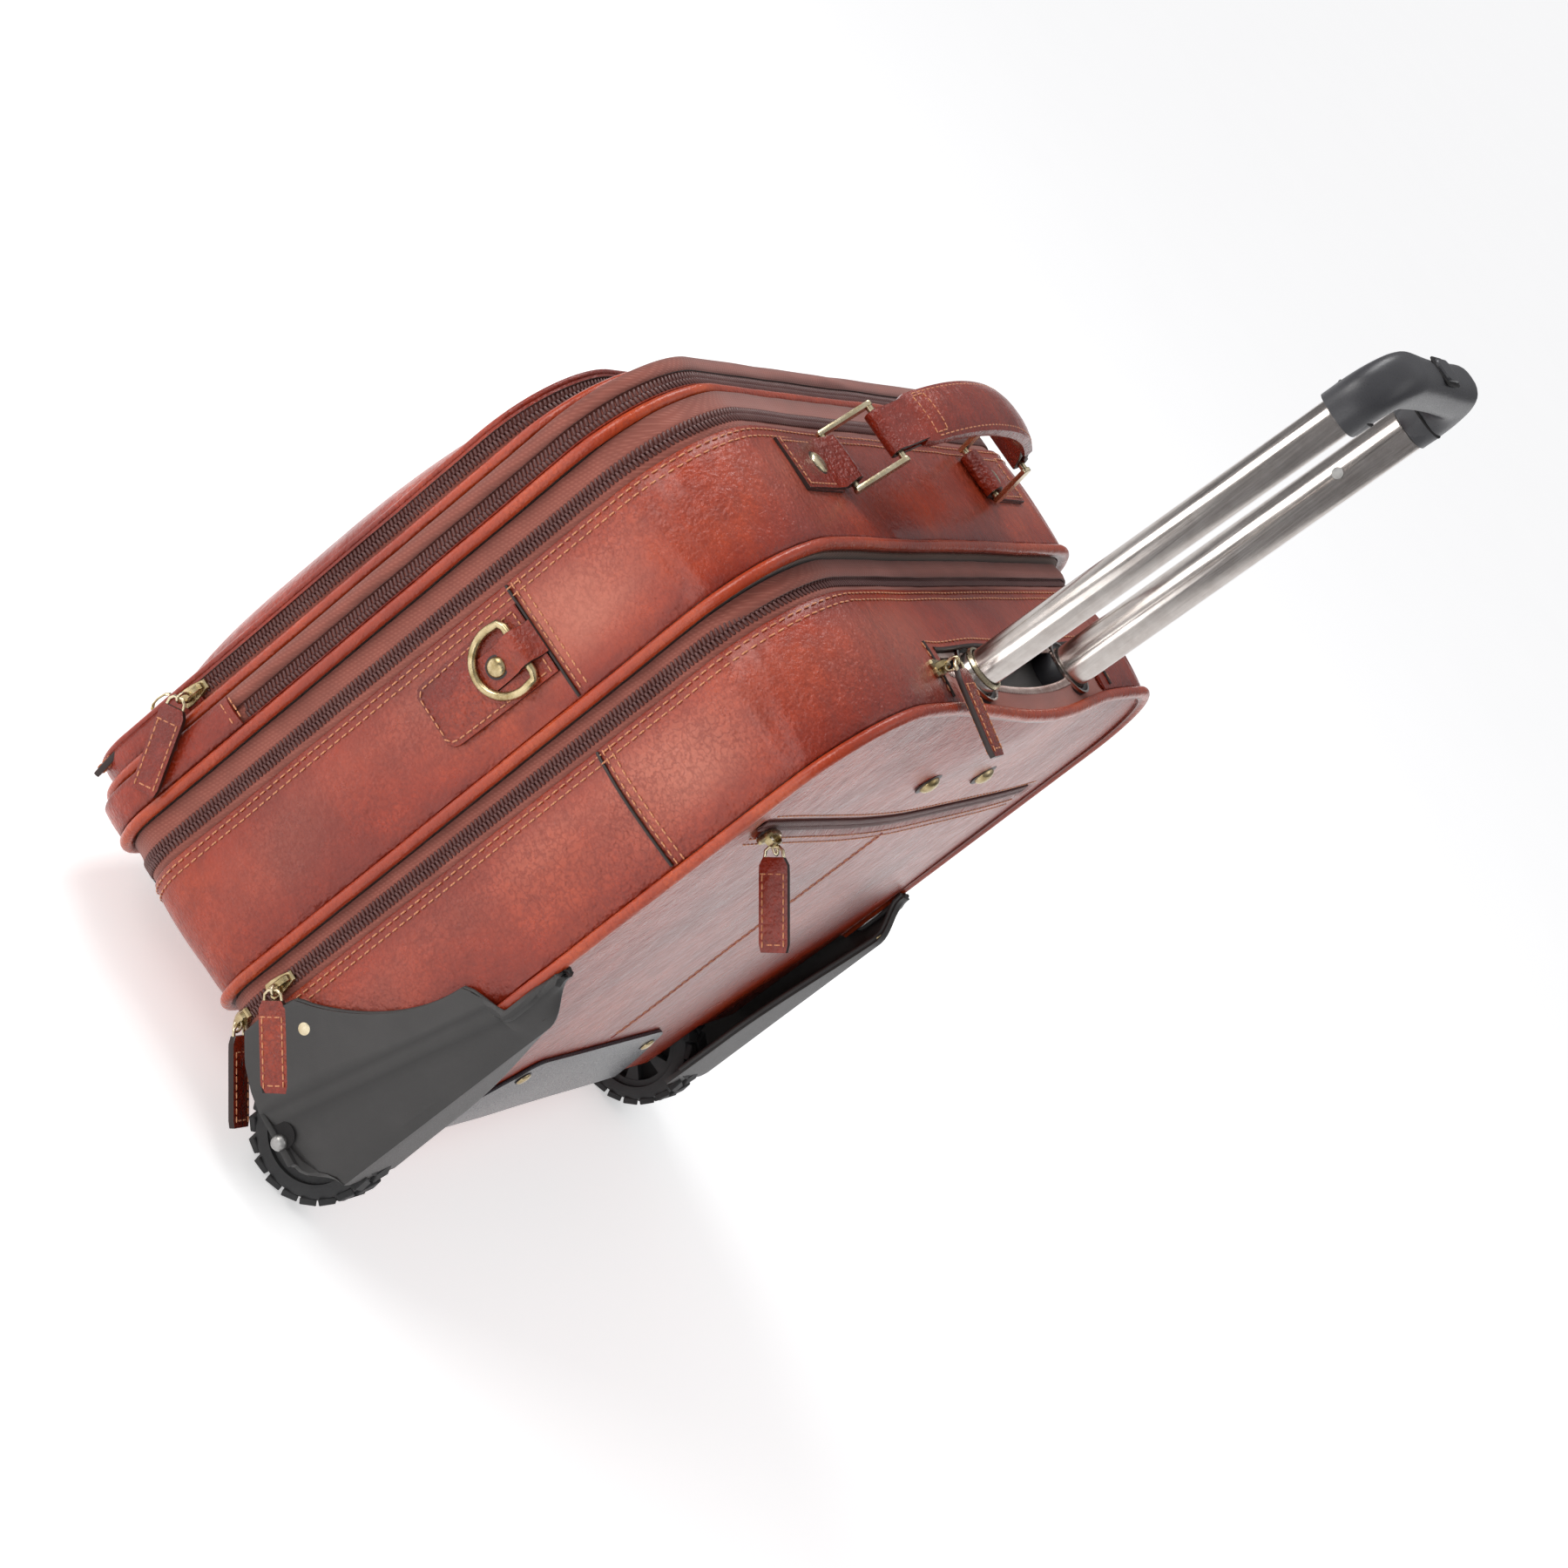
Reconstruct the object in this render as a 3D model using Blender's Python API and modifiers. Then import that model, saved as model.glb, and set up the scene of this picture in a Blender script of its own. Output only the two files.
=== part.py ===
"""Rolling laptop case: leather body in zipped sections, wheels, telescopic trolley and carry handle.

Units are metres, +Z up, +X the case's right side, +Y its back (wheels and trolley), -Y its front pockets.
Everything hangs on one empty: inside it, Z = 0 is the leather body's bottom edge and Y = 0 is the middle
welt, and the empty lifts the body to its height over the ground.
"""
import math

import bmesh
import bpy
from mathutils import Matrix, Vector

# ---------------------------------------------------------------- driving dimensions (metres)
CLEAR = 0.0003            # gap between pieces that touch
BODY_HALF_W = 0.215       # half the leather body's width
BODY_H = 0.360            # height of the front gusset
REAR_H = 0.352            # height of the rear gusset
TOP_R = 0.054             # top corner radius of the body
BOTTOM_R = 0.030          # bottom corner radius of the body
WALL = 0.004              # stiffened leather wall
WELT_R = 0.003            # piping radius
TAPE = 0.0025             # zip tape thickness
RECESS = 0.0022           # depth of the zip tapes under the leather
WHEEL_R = 0.034
WHEEL_W = 0.024
WHEEL_X = 0.180
AXLE_Y = 0.0725
AXLE_Z = -0.001
AXLE_R = 0.003
GROUND_DROP = WHEEL_R - AXLE_Z    # body bottom over the ground
DEPTH_SHIFT = 0.0072      # centres the whole depth on Y = 0

# depth stations, front to back
Y_FRONT_EDGE = -0.1275    # rim of the front pocket's crowned panel
Y_FRONT_CROWN = -0.1580   # its fullest point
Y_ZIP1 = -0.1209
Y_WELT1 = -0.113
Y_ZIP2 = -0.098
Y_WELT2 = -0.090
Y_ZIP3 = -0.073
Y_GUSSET_FRONT = -0.0653
Y_ZIP4 = 0.013
Y_GUSSET_REAR = 0.020
Y_WELT4 = 0.086
Y_BACK = 0.0866           # back panel's outer face
BACK_ZIP_Z = 0.2635

FLAP_Z = 0.080            # height where the front pocket folds open
Y_FLAP = -0.1556          # its fold line, at the crown's surface
POCKET_HALF_W = 0.206
POCKET_TOP = 0.318
SECTION_TOP = 0.354       # top of the welts in front of the main gusset

TUBE_X = 0.070            # trolley tubes either side of the middle
TUBE_Y = 0.0695           # where they leave the top
TROLLEY_LEAN = math.radians(2.1)
OUTER_R, OUTER_BORE = 0.0128, 0.0118
MID_R, MID_BORE = 0.0112, 0.0100
INNER_R = 0.0093
TRAVEL = 0.200            # travel of each trolley stage
STAGE = 0.337             # length of an inner or middle trolley tube
GRIP_Z = 0.560            # underside of the grip's sleeves
GRIP_TOP = 0.600
GRIP_HALF = 0.012         # half the grip's thickness

FOOT_X, FOOT_Y = 0.120, -0.090
D_BAR_Y, D_BAR_Z = -0.037, 0.232
HANDLE_Y, HANDLE_Z = -0.043, 0.3666

HANG = Vector((0.05, 0.815, -0.577)).normalized()   # how loose pulls hang when the case is tilted to roll
ARC = 6                   # segments in a rounded corner


# ---------------------------------------------------------------- scene, materials, collections
for old in list(bpy.data.objects):
    bpy.data.objects.remove(old, do_unlink=True)

PARTS = bpy.data.collections.new("rolling_laptop_case")
CUTTERS = bpy.data.collections.new("cutters")
bpy.context.scene.collection.children.link(PARTS)
bpy.context.scene.collection.children.link(CUTTERS)

ORIGIN = bpy.data.objects.new("case_origin", None)
ORIGIN.location = (0.0, DEPTH_SHIFT, GROUND_DROP)
PARTS.objects.link(ORIGIN)


def finish(name, colour, roughness, metallic=0.0):
    """One Principled material."""
    made = bpy.data.materials.new(name)
    made.use_nodes = True
    shader = made.node_tree.nodes["Principled BSDF"]
    shader.inputs["Base Color"].default_value = (*colour, 1.0)
    shader.inputs["Roughness"].default_value = roughness
    shader.inputs["Metallic"].default_value = metallic
    return made


LEATHER = ((0.36, 0.075, 0.022), 0.38, 0.0)
WELT_LEATHER = ((0.42, 0.095, 0.030), 0.36, 0.0)
TAPE_CLOTH = ((0.17, 0.055, 0.038), 0.75, 0.0)
LINING = ((0.20, 0.085, 0.035), 0.85, 0.0)
BRASS = ((0.50, 0.40, 0.24), 0.30, 1.0)
STEEL = ((0.62, 0.57, 0.53), 0.22, 1.0)
BLACK = ((0.028, 0.027, 0.027), 0.48, 0.0)
TYRE = ((0.035, 0.035, 0.036), 0.70, 0.0)


def keep(obj, look, parent=None):
    """Put a finished object in the parts collection with its own material."""
    if obj.name not in PARTS.objects:
        PARTS.objects.link(obj)
    obj.data.materials.clear()
    obj.data.materials.append(finish(obj.name, *look))
    obj.parent = parent or ORIGIN
    return obj


def as_cutter(obj):
    """Move an object to the cutters: wire, never rendered, not part of the model."""
    for home in list(obj.users_collection):
        home.objects.unlink(obj)
    CUTTERS.objects.link(obj)
    obj.display_type = "WIRE"
    obj.hide_render = True
    if obj.parent is None:
        obj.parent = ORIGIN
    return obj


def boolean(obj, other, operation):
    """Cut, or join, one object with another through an exact Boolean modifier."""
    step = obj.modifiers.new(other.name, "BOOLEAN")
    step.operation = operation
    step.object = as_cutter(other)
    step.solver = "EXACT"
    return obj


def cut(obj, *others):
    for other in others:
        boolean(obj, other, "DIFFERENCE")
    return obj


def join(obj, *others):
    for other in others:
        boolean(obj, other, "UNION")
    return obj


def soften(obj, width, segments=2, angle=35.0):
    """Round an object's sharper edges."""
    step = obj.modifiers.new("soften", "BEVEL")
    step.width = width
    step.segments = segments
    step.limit_method = "ANGLE"
    step.angle_limit = math.radians(angle)
    return obj


# ---------------------------------------------------------------- shape helpers
def from_bmesh(name, mesh_data, smooth=True):
    mesh = bpy.data.meshes.new(name)
    bmesh.ops.recalc_face_normals(mesh_data, faces=mesh_data.faces)
    mesh_data.to_mesh(mesh)
    mesh_data.free()
    if smooth:
        mesh.shade_smooth()
        mesh.set_sharp_from_angle(angle=math.radians(35.0))
    return bpy.data.objects.new(name, mesh)


def curve_to_mesh(curve_obj, name):
    """A curve's solid as a welded mesh object, with the curve's placement taken into the mesh."""
    bpy.context.scene.collection.objects.link(curve_obj)
    bpy.context.view_layer.update()
    evaluated = curve_obj.evaluated_get(bpy.context.evaluated_depsgraph_get())
    mesh = bpy.data.meshes.new_from_object(evaluated)
    mesh.name = name
    mesh.transform(curve_obj.matrix_world)
    welded = bmesh.new()
    welded.from_mesh(mesh)
    bmesh.ops.remove_doubles(welded, verts=welded.verts, dist=0.00001)
    bmesh.ops.recalc_face_normals(welded, faces=welded.faces)
    welded.to_mesh(mesh)
    welded.free()
    mesh.shade_smooth()
    mesh.set_sharp_from_angle(angle=math.radians(35.0))
    bpy.data.objects.remove(curve_obj, do_unlink=True)
    return bpy.data.objects.new(name, mesh)


TURN = {
    "XZ": Matrix.Rotation(math.radians(90.0), 4, "X"),
    "YZ": Matrix.Rotation(math.radians(90.0), 4, "Z") @ Matrix.Rotation(math.radians(90.0), 4, "X"),
    "XY": Matrix.Identity(4),
}


def slab(name, loops, start, end, plane="XZ"):
    """A flat outline, with any inner loops as holes, from one station to the other across its plane."""
    data = bpy.data.curves.new(name, "CURVE")
    data.dimensions = "2D"
    data.fill_mode = "BOTH"
    data.extrude = abs(end - start) / 2.0
    for loop in loops:
        spline = data.splines.new("POLY")
        spline.points.add(len(loop) - 1)
        for point, (u, v) in zip(spline.points, loop):
            point.co = (u, v, 0.0, 1.0)
        spline.use_cyclic_u = True
    obj = bpy.data.objects.new(name + "_outline", data)
    across = {"XZ": Vector((0, 1, 0)), "YZ": Vector((1, 0, 0)), "XY": Vector((0, 0, 1))}[plane]
    obj.matrix_world = Matrix.Translation(across * (start + end) / 2.0) @ TURN[plane]
    return curve_to_mesh(obj, name)


def arc_points(centre, radius, first_deg, last_deg, steps=ARC):
    out = []
    for i in range(steps + 1):
        angle = math.radians(first_deg + (last_deg - first_deg) * i / steps)
        out.append((centre[0] + radius * math.cos(angle), centre[1] + radius * math.sin(angle)))
    return out


def case_outline(grow=0.0, half_w=BODY_HALF_W, top=BODY_H, bottom=0.0, top_r=TOP_R, bottom_r=BOTTOM_R):
    """The body's outline from the front: a rounded rectangle, grown or shrunk all round."""
    half_w = half_w + grow
    top = top + grow
    bottom = bottom - grow
    top_r = top_r + grow
    bottom_r = bottom_r + grow
    points = arc_points((half_w - bottom_r, bottom + bottom_r), bottom_r, -90, 0)
    points += arc_points((half_w - top_r, top - top_r), top_r, 0, 90)
    points += arc_points((-half_w + top_r, top - top_r), top_r, 90, 180)
    points += arc_points((-half_w + bottom_r, bottom + bottom_r), bottom_r, 180, 270)
    return points


def hoop(name, start, end, outer=0.0, thickness=WALL, **outline):
    """A band that follows the body's outline."""
    loops = [case_outline(outer, **outline), case_outline(outer - thickness, **outline)]
    return slab(name, loops, start, end)


def box(name, low, high):
    cage = bmesh.new()
    bmesh.ops.create_cube(cage, size=1.0)
    size = [h - l for l, h in zip(low, high)]
    middle = [(h + l) / 2.0 for l, h in zip(low, high)]
    bmesh.ops.scale(cage, vec=size, verts=cage.verts)
    bmesh.ops.translate(cage, vec=middle, verts=cage.verts)
    return from_bmesh(name, cage, smooth=False)


def rod(name, start, end, radius, segments=16, end_radius=None):
    """A cylinder, or a cone, between two points."""
    start, end = Vector(start), Vector(end)
    cage = bmesh.new()
    bmesh.ops.create_cone(cage, cap_ends=True, segments=segments, radius1=radius,
                          radius2=radius if end_radius is None else end_radius, depth=(end - start).length)
    turn = Vector((0, 0, 1)).rotation_difference(end - start).to_matrix()
    bmesh.ops.rotate(cage, matrix=turn, verts=cage.verts)
    bmesh.ops.translate(cage, vec=(start + end) / 2.0, verts=cage.verts)
    return from_bmesh(name, cage)


def tube(name, low, high, radius, bore, segments=24):
    """A hollow upright tube around its own origin: a closed profile turned once."""
    cage = bmesh.new()
    corners = [(radius, high), (radius, low), (bore, low), (bore, high)]
    made = [cage.verts.new((r, 0.0, z)) for r, z in corners]
    for a, b in zip(made, made[1:] + made[:1]):
        cage.edges.new((a, b))
    mesh = bpy.data.meshes.new(name)
    cage.to_mesh(mesh)
    cage.free()
    obj = bpy.data.objects.new(name, mesh)
    turn = obj.modifiers.new("turn", "SCREW")
    turn.steps = segments
    turn.render_steps = segments
    turn.use_merge_vertices = True
    turn.merge_threshold = 0.00001
    return obj


def wire(name, points, radius, closed=False, resolution=2):
    """A round wire along a list of points."""
    data = bpy.data.curves.new(name, "CURVE")
    data.dimensions = "3D"
    data.bevel_depth = radius
    data.bevel_resolution = resolution
    data.use_fill_caps = not closed
    spline = data.splines.new("POLY")
    spline.points.add(len(points) - 1)
    for point, place in zip(spline.points, points):
        point.co = (*place, 1.0)
    spline.use_cyclic_u = closed
    return curve_to_mesh(bpy.data.objects.new(name + "_path", data), name)


def pull_tab(name, pivot, along, wide, length=0.052, width=0.015, thickness=0.0034):
    """A zip pull: leather tab with a wire link, hanging from its pivot. The origin is the pivot."""
    along = Vector(along).normalized()
    wide = (Vector(wide) - along * along.dot(Vector(wide))).normalized()
    turn = Matrix((wide, along, wide.cross(along))).transposed().to_4x4()
    neck = 0.011
    half = width / 2.0
    outline = [(-half, neck + 0.004), (-half * 0.7, neck), (half * 0.7, neck), (half, neck + 0.004)]
    outline += [(half, length - 0.003), (half - 0.003, length), (-half + 0.003, length), (-half, length - 0.003)]
    tab = slab(name, [outline], -thickness / 2.0, thickness / 2.0, "XY")
    link = wire(name + "_link", [(-0.0035, neck + 0.004, 0), (-0.0040, 0.004, 0), (-0.0022, 0.0015, 0),
                                 (0.0022, 0.0015, 0), (0.0040, 0.004, 0), (0.0035, neck + 0.004, 0)], 0.0010, resolution=1)
    for obj in (tab, link):
        obj.data.transform(turn)
        obj.parent = ORIGIN
        obj.matrix_world = Matrix.Identity(4)
        obj.location = pivot
    join(tab, link)
    return keep(tab, LEATHER)


def slider(name, centre, along, outward):
    """A zip slider: a shield-shaped block with a bridge, flat on its tape."""
    along, outward = Vector(along).normalized(), Vector(outward).normalized()
    turn = Matrix((along.cross(outward), along, outward)).transposed().to_4x4()
    outline = [(-0.0025, -0.008), (0.0025, -0.008), (0.0045, 0.003), (0.0042, 0.008), (0.0, 0.0065),
               (-0.0042, 0.008), (-0.0045, 0.003)]
    base = slab(name, [outline], 0.0, 0.0032, "XY")
    bridge = slab(name + "_bridge", [[(-0.0066, 0.003), (-0.0055, 0.0058), (0.0045, 0.0058), (0.0062, 0.003)]],
                  -0.0016, 0.0016, "YZ")
    for obj in (base, bridge):
        obj.data.transform(turn)
        obj.parent = ORIGIN
        obj.location = centre
    join(base, bridge)
    return keep(base, BRASS)


def crowned_panel(name, rim_y, crown_y, half_w, top, bottom, thickness, keep_below=None, keep_above=None):
    """A panel that swells from its rim to a full middle: rings of one outline, smaller and further out."""
    rings = 5
    shell = bmesh.new()
    loops = []
    middle_z = (top + bottom) / 2.0
    outline = case_outline(0.0, half_w=half_w, top=top, bottom=bottom, top_r=0.050, bottom_r=BOTTOM_R)
    for i in range(rings):
        reach = math.cos(math.radians(90.0) * i / rings)
        rise = math.sin(math.radians(90.0) * i / rings)
        y = rim_y + (crown_y - rim_y) * rise
        loops.append([shell.verts.new((x * reach, y, middle_z + (z - middle_z) * reach)) for x, z in outline])
    count = len(outline)
    for inner, outer in zip(loops[1:], loops):
        for k in range(count):
            shell.faces.new((outer[k], outer[(k + 1) % count], inner[(k + 1) % count], inner[k]))
    shell.faces.new(loops[-1])
    bmesh.ops.recalc_face_normals(shell, faces=shell.faces)
    if keep_below is not None or keep_above is not None:
        level = keep_below if keep_below is not None else keep_above
        bmesh.ops.bisect_plane(shell, geom=shell.verts[:] + shell.edges[:] + shell.faces[:], dist=0.00001,
                               plane_co=(0, 0, level), plane_no=(0, 0, 1),
                               clear_outer=keep_below is not None, clear_inner=keep_above is not None)
    mesh = bpy.data.meshes.new(name)
    shell.to_mesh(mesh)
    shell.free()
    mesh.shade_smooth()
    obj = bpy.data.objects.new(name, mesh)
    skin = obj.modifiers.new("thickness", "SOLIDIFY")
    skin.thickness = thickness
    skin.offset = 0.0
    return obj


def hinge_empty(name, place):
    """An empty on a joint's axis, for pieces that swing together."""
    made = bpy.data.objects.new(name, None)
    made.empty_display_size = 0.02
    PARTS.objects.link(made)
    made.parent = ORIGIN
    made.location = place
    return made


# ---------------------------------------------------------------- leather body
def well_cutter(name, side, top=0.0400, inner=0.1620, outer=0.2300, front=0.0330):
    """The corner taken out of the body for a wheel and its housing."""
    return box(name, (min(side * inner, side * outer), front, -0.02), (max(side * inner, side * outer), 0.13, top))


def rear_compartment():
    """The rear box: gusset, tape, welt and back panel, open towards the front section."""
    rear = dict(top=REAR_H)
    gusset = hoop("rear_gusset", Y_GUSSET_REAR, Y_WELT4 - WELT_R - CLEAR, **rear)
    slot = box("slot_cut", (-0.122, 0.055, REAR_H - 0.02), (0.122, 0.0815, REAR_H + 0.01))
    cut(gusset, slot, well_cutter("well_cut_r", 1), well_cutter("well_cut_l", -1))
    keep(gusset, LEATHER)
    tape = hoop("rear_zip_tape", Y_ZIP4 + CLEAR, Y_GUSSET_REAR - CLEAR, -RECESS, TAPE, **rear)
    keep(tape, TAPE_CLOTH)
    panel = slab("back_panel", [case_outline(-0.0036, **rear)], Y_WELT4 - 0.0027, Y_BACK)
    cut(panel, well_cutter("well_cut_panel_r", 1), well_cutter("well_cut_panel_l", -1))
    keep(panel, LEATHER)
    welt = hoop("rear_welt", Y_WELT4 - WELT_R, Y_WELT4 + WELT_R, WELT_R, WELT_R * 2.0 + 0.0003, **rear)
    cut(welt, box("welt_cut", (-0.3, 0.0, -0.05), (0.3, 0.2, 0.1300)))
    keep(welt, WELT_LEATHER)
    pocket = box("back_pocket_zip", (-0.186, Y_BACK + CLEAR, BACK_ZIP_Z - 0.0045),
                 (0.186, Y_BACK + 0.0015, BACK_ZIP_Z + 0.0045))
    keep(pocket, TAPE_CLOTH)
    bumper_outline = [(-0.125, -0.0005), (0.125, -0.0005)]
    bumper_outline += [(0.125, 0.020)] + arc_points((0.060, 0.044), 0.020, 20, 90, 4)
    bumper_outline += arc_points((-0.060, 0.044), 0.020, 90, 160, 4) + [(-0.125, 0.020)]
    bumper = slab("bottom_bumper", [bumper_outline], Y_BACK + CLEAR, Y_BACK + 0.0025)
    keep(bumper, BLACK)


def front_section():
    """The laptop section: main gusset, its welt and divider, and the tapes each side of it."""
    gusset = hoop("front_gusset", Y_GUSSET_FRONT, -WELT_R - CLEAR)
    keep(gusset, LEATHER)
    keep(hoop("middle_welt", -WELT_R, WELT_R, WELT_R, WELT_R * 2.0 + 0.0003), WELT_LEATHER)
    keep(slab("divider_panel", [case_outline(-0.0036)], -0.0022, 0.0022), LINING)
    keep(hoop("front_zip_tape", WELT_R + CLEAR, Y_ZIP4 - CLEAR, -RECESS, TAPE, top=REAR_H + 0.003), TAPE_CLOTH)
    keep(hoop("laptop_zip_tape", Y_ZIP3 + CLEAR, Y_GUSSET_FRONT - CLEAR, -RECESS, TAPE), TAPE_CLOTH)
    for side, tag in ((1, "right"), (-1, "left")):
        face = side * (BODY_HALF_W + CLEAR)
        patch_outline = [(-0.0545, 0.172), (-0.0195, 0.172), (-0.0175, 0.240), (-0.0565, 0.240)]
        patch = slab("d_ring_patch_" + tag, [patch_outline], face, face + side * 0.0020, "YZ")
        loop = box("d_loop_" + tag, (min(face, face + side * 0.0098), D_BAR_Y - 0.0085, D_BAR_Z - 0.0060),
                   (max(face, face + side * 0.0098), D_BAR_Y + 0.0085, D_BAR_Z + 0.0060))
        bore_x = face + side * 0.0052
        bore = rod("d_bore_" + tag, (bore_x, D_BAR_Y - 0.03, D_BAR_Z), (bore_x, D_BAR_Y + 0.03, D_BAR_Z), 0.0027)
        keep(cut(join(patch, loop), bore), LEATHER)
        tab_z = BODY_H + CLEAR
        tab_outline = [(side * 0.1025, HANDLE_Y - 0.0140), (side * 0.1500, HANDLE_Y - 0.0145),
                       (side * 0.1510, HANDLE_Y + 0.0145), (side * 0.1025, HANDLE_Y + 0.0140)]
        if side < 0:
            tab_outline.reverse()
        keep(slab("handle_tab_" + tag, [tab_outline], tab_z, tab_z + 0.0035, "XY"), LEATHER)


def pocket_section():
    """The section in front of the laptop compartment: welts, tapes, pocket gusset and panels."""
    section = dict(top=SECTION_TOP)
    keep(hoop("organiser_zip_tape", Y_WELT2 + WELT_R + CLEAR, Y_ZIP3 - CLEAR, -RECESS, TAPE, top=BODY_H), TAPE_CLOTH)
    keep(hoop("second_welt", Y_WELT2 - WELT_R, Y_WELT2 + WELT_R, WELT_R, WELT_R * 2.0 + 0.0003, **section),
         WELT_LEATHER)
    keep(slab("organiser_panel", [case_outline(-0.0036, **section)], Y_WELT2 - 0.0022, Y_WELT2 + 0.0022), LINING)
    keep(hoop("slip_pocket_zip_tape", -0.1027, Y_WELT2 - WELT_R - CLEAR, -RECESS, TAPE, **section), TAPE_CLOTH)
    keep(hoop("pocket_gusset", Y_WELT1 + WELT_R + CLEAR, -0.1030, **section), LEATHER)
    pocket = dict(half_w=POCKET_HALF_W + 0.004, top=POCKET_TOP + 0.018, bottom=0.004, top_r=0.052)
    keep(hoop("front_welt", Y_WELT1 - WELT_R, Y_WELT1 + WELT_R, WELT_R, WELT_R * 2.0 + 0.0003, **pocket), WELT_LEATHER)
    keep(slab("pocket_back_panel", [case_outline(-0.0036, **pocket)], Y_WELT1 - 0.0022, Y_WELT1 + 0.0022), LINING)
    tape = hoop("front_zip_tape_pocket", Y_FRONT_EDGE + 0.0023, Y_WELT1 - WELT_R - CLEAR, -RECESS, TAPE,
                half_w=POCKET_HALF_W, top=POCKET_TOP, bottom=0.006, top_r=0.050)
    keep(tape, TAPE_CLOTH)
    lower = crowned_panel("front_pocket_lower", Y_FRONT_EDGE, Y_FRONT_CROWN, POCKET_HALF_W, POCKET_TOP, 0.006,
                          0.0036, keep_below=FLAP_Z - 0.0005)
    keep(lower, LEATHER)
    feet = box("front_feet", (-0.140, FOOT_Y - 0.0065, -0.0045), (0.140, FOOT_Y + 0.0065, -0.0038))
    for side, tag in ((1, "right"), (-1, "left")):
        foot = rod("foot_" + tag, (side * FOOT_X, FOOT_Y, -GROUND_DROP), (side * FOOT_X, FOOT_Y, -0.0040),
                   0.0100, 20, 0.0125)
        join(feet, foot)
    keep(feet, BLACK)


def front_flap():
    """The front pocket's upper part, which folds forwards when its zip is open."""
    axis = hinge_empty("front_flap_axis", (0.0, Y_FLAP, FLAP_Z))
    flap = crowned_panel("front_pocket_flap", Y_FRONT_EDGE, Y_FRONT_CROWN, POCKET_HALF_W, POCKET_TOP, 0.006,
                         0.0036, keep_above=FLAP_Z + 0.0005)
    keep(flap, LEATHER, axis)
    flap.matrix_parent_inverse = Matrix.Translation(-axis.location)


# ---------------------------------------------------------------- hardware on the leather
def d_rings():
    for side, tag in ((1, "right"), (-1, "left")):
        x = side * (BODY_HALF_W + CLEAR + 0.0052)
        wide, long = 0.0160, 0.0150
        path = [(0.0, y, 0.0) for y in (-wide, -0.006, 0.006, wide)]
        path += [(0.0, wide * math.cos(a), -0.010 - long * math.sin(a))
                 for a in [math.radians(180.0 * i / 8.0) for i in range(9)]]
        ring = wire("d_ring_" + tag, path, 0.0021, closed=True)
        keep(ring, BRASS)
        ring.location = (x, D_BAR_Y, D_BAR_Z)


def carry_handle():
    """Handle strap on two flat rings; it leans on the tabs about a line through the rings' outer bars."""
    axis = hinge_empty("carry_handle_axis", (0.0, HANDLE_Y, HANDLE_Z))
    bar_x, bar_z = 0.0990, 0.0
    top_x, top_z = 0.0870, 0.0230
    half_y = 0.0155
    for side, tag in ((1, "right"), (-1, "left")):
        path = [(side * bar_x, -half_y, bar_z), (side * bar_x, half_y, bar_z),
                (side * top_x, half_y, top_z), (side * top_x, -half_y, top_z)]
        ring = wire("handle_ring_" + tag, path, 0.0018, closed=True, resolution=1)
        keep(ring, BRASS, axis)
    arch_top = 0.0470
    strap_half_y = 0.0130
    bend = 2.2
    stations = 15
    cage = bmesh.new()
    previous = None
    for i in range(stations):
        t = i / (stations - 1) * 2.0 - 1.0
        x = t * (top_x + 0.004)
        z = top_z + (arch_top - top_z) * (1.0 - abs(t) ** bend)
        thick = 0.0034 + 0.0034 * (1.0 - abs(t) ** 4)
        slope = -(arch_top - top_z) * bend * abs(t) ** (bend - 1.0) * (1 if t > 0 else -1) / (top_x + 0.004)
        normal = Vector((-slope, 0.0, 1.0)).normalized() * thick
        section = [cage.verts.new(Vector((x, y, z)) + normal * n)
                   for y, n in ((-strap_half_y, -0.6), (strap_half_y, -0.6), (strap_half_y, 0.6),
                                (strap_half_y * 0.6, 1.0), (-strap_half_y * 0.6, 1.0), (-strap_half_y, 0.6))]
        if previous:
            for k in range(len(section)):
                m = (k + 1) % len(section)
                cage.faces.new((previous[k], previous[m], section[m], section[k]))
        else:
            cage.faces.new(section)
        previous = section
    cage.faces.new(previous)
    strap = from_bmesh("handle_strap", cage)
    for side in (1, -1):
        bore = rod("strap_bore", (side * top_x, -0.03, top_z), (side * top_x, 0.03, top_z), 0.0022, 12)
        cut(strap, bore)
        bore.parent = axis
    keep(strap, LEATHER, axis)


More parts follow.
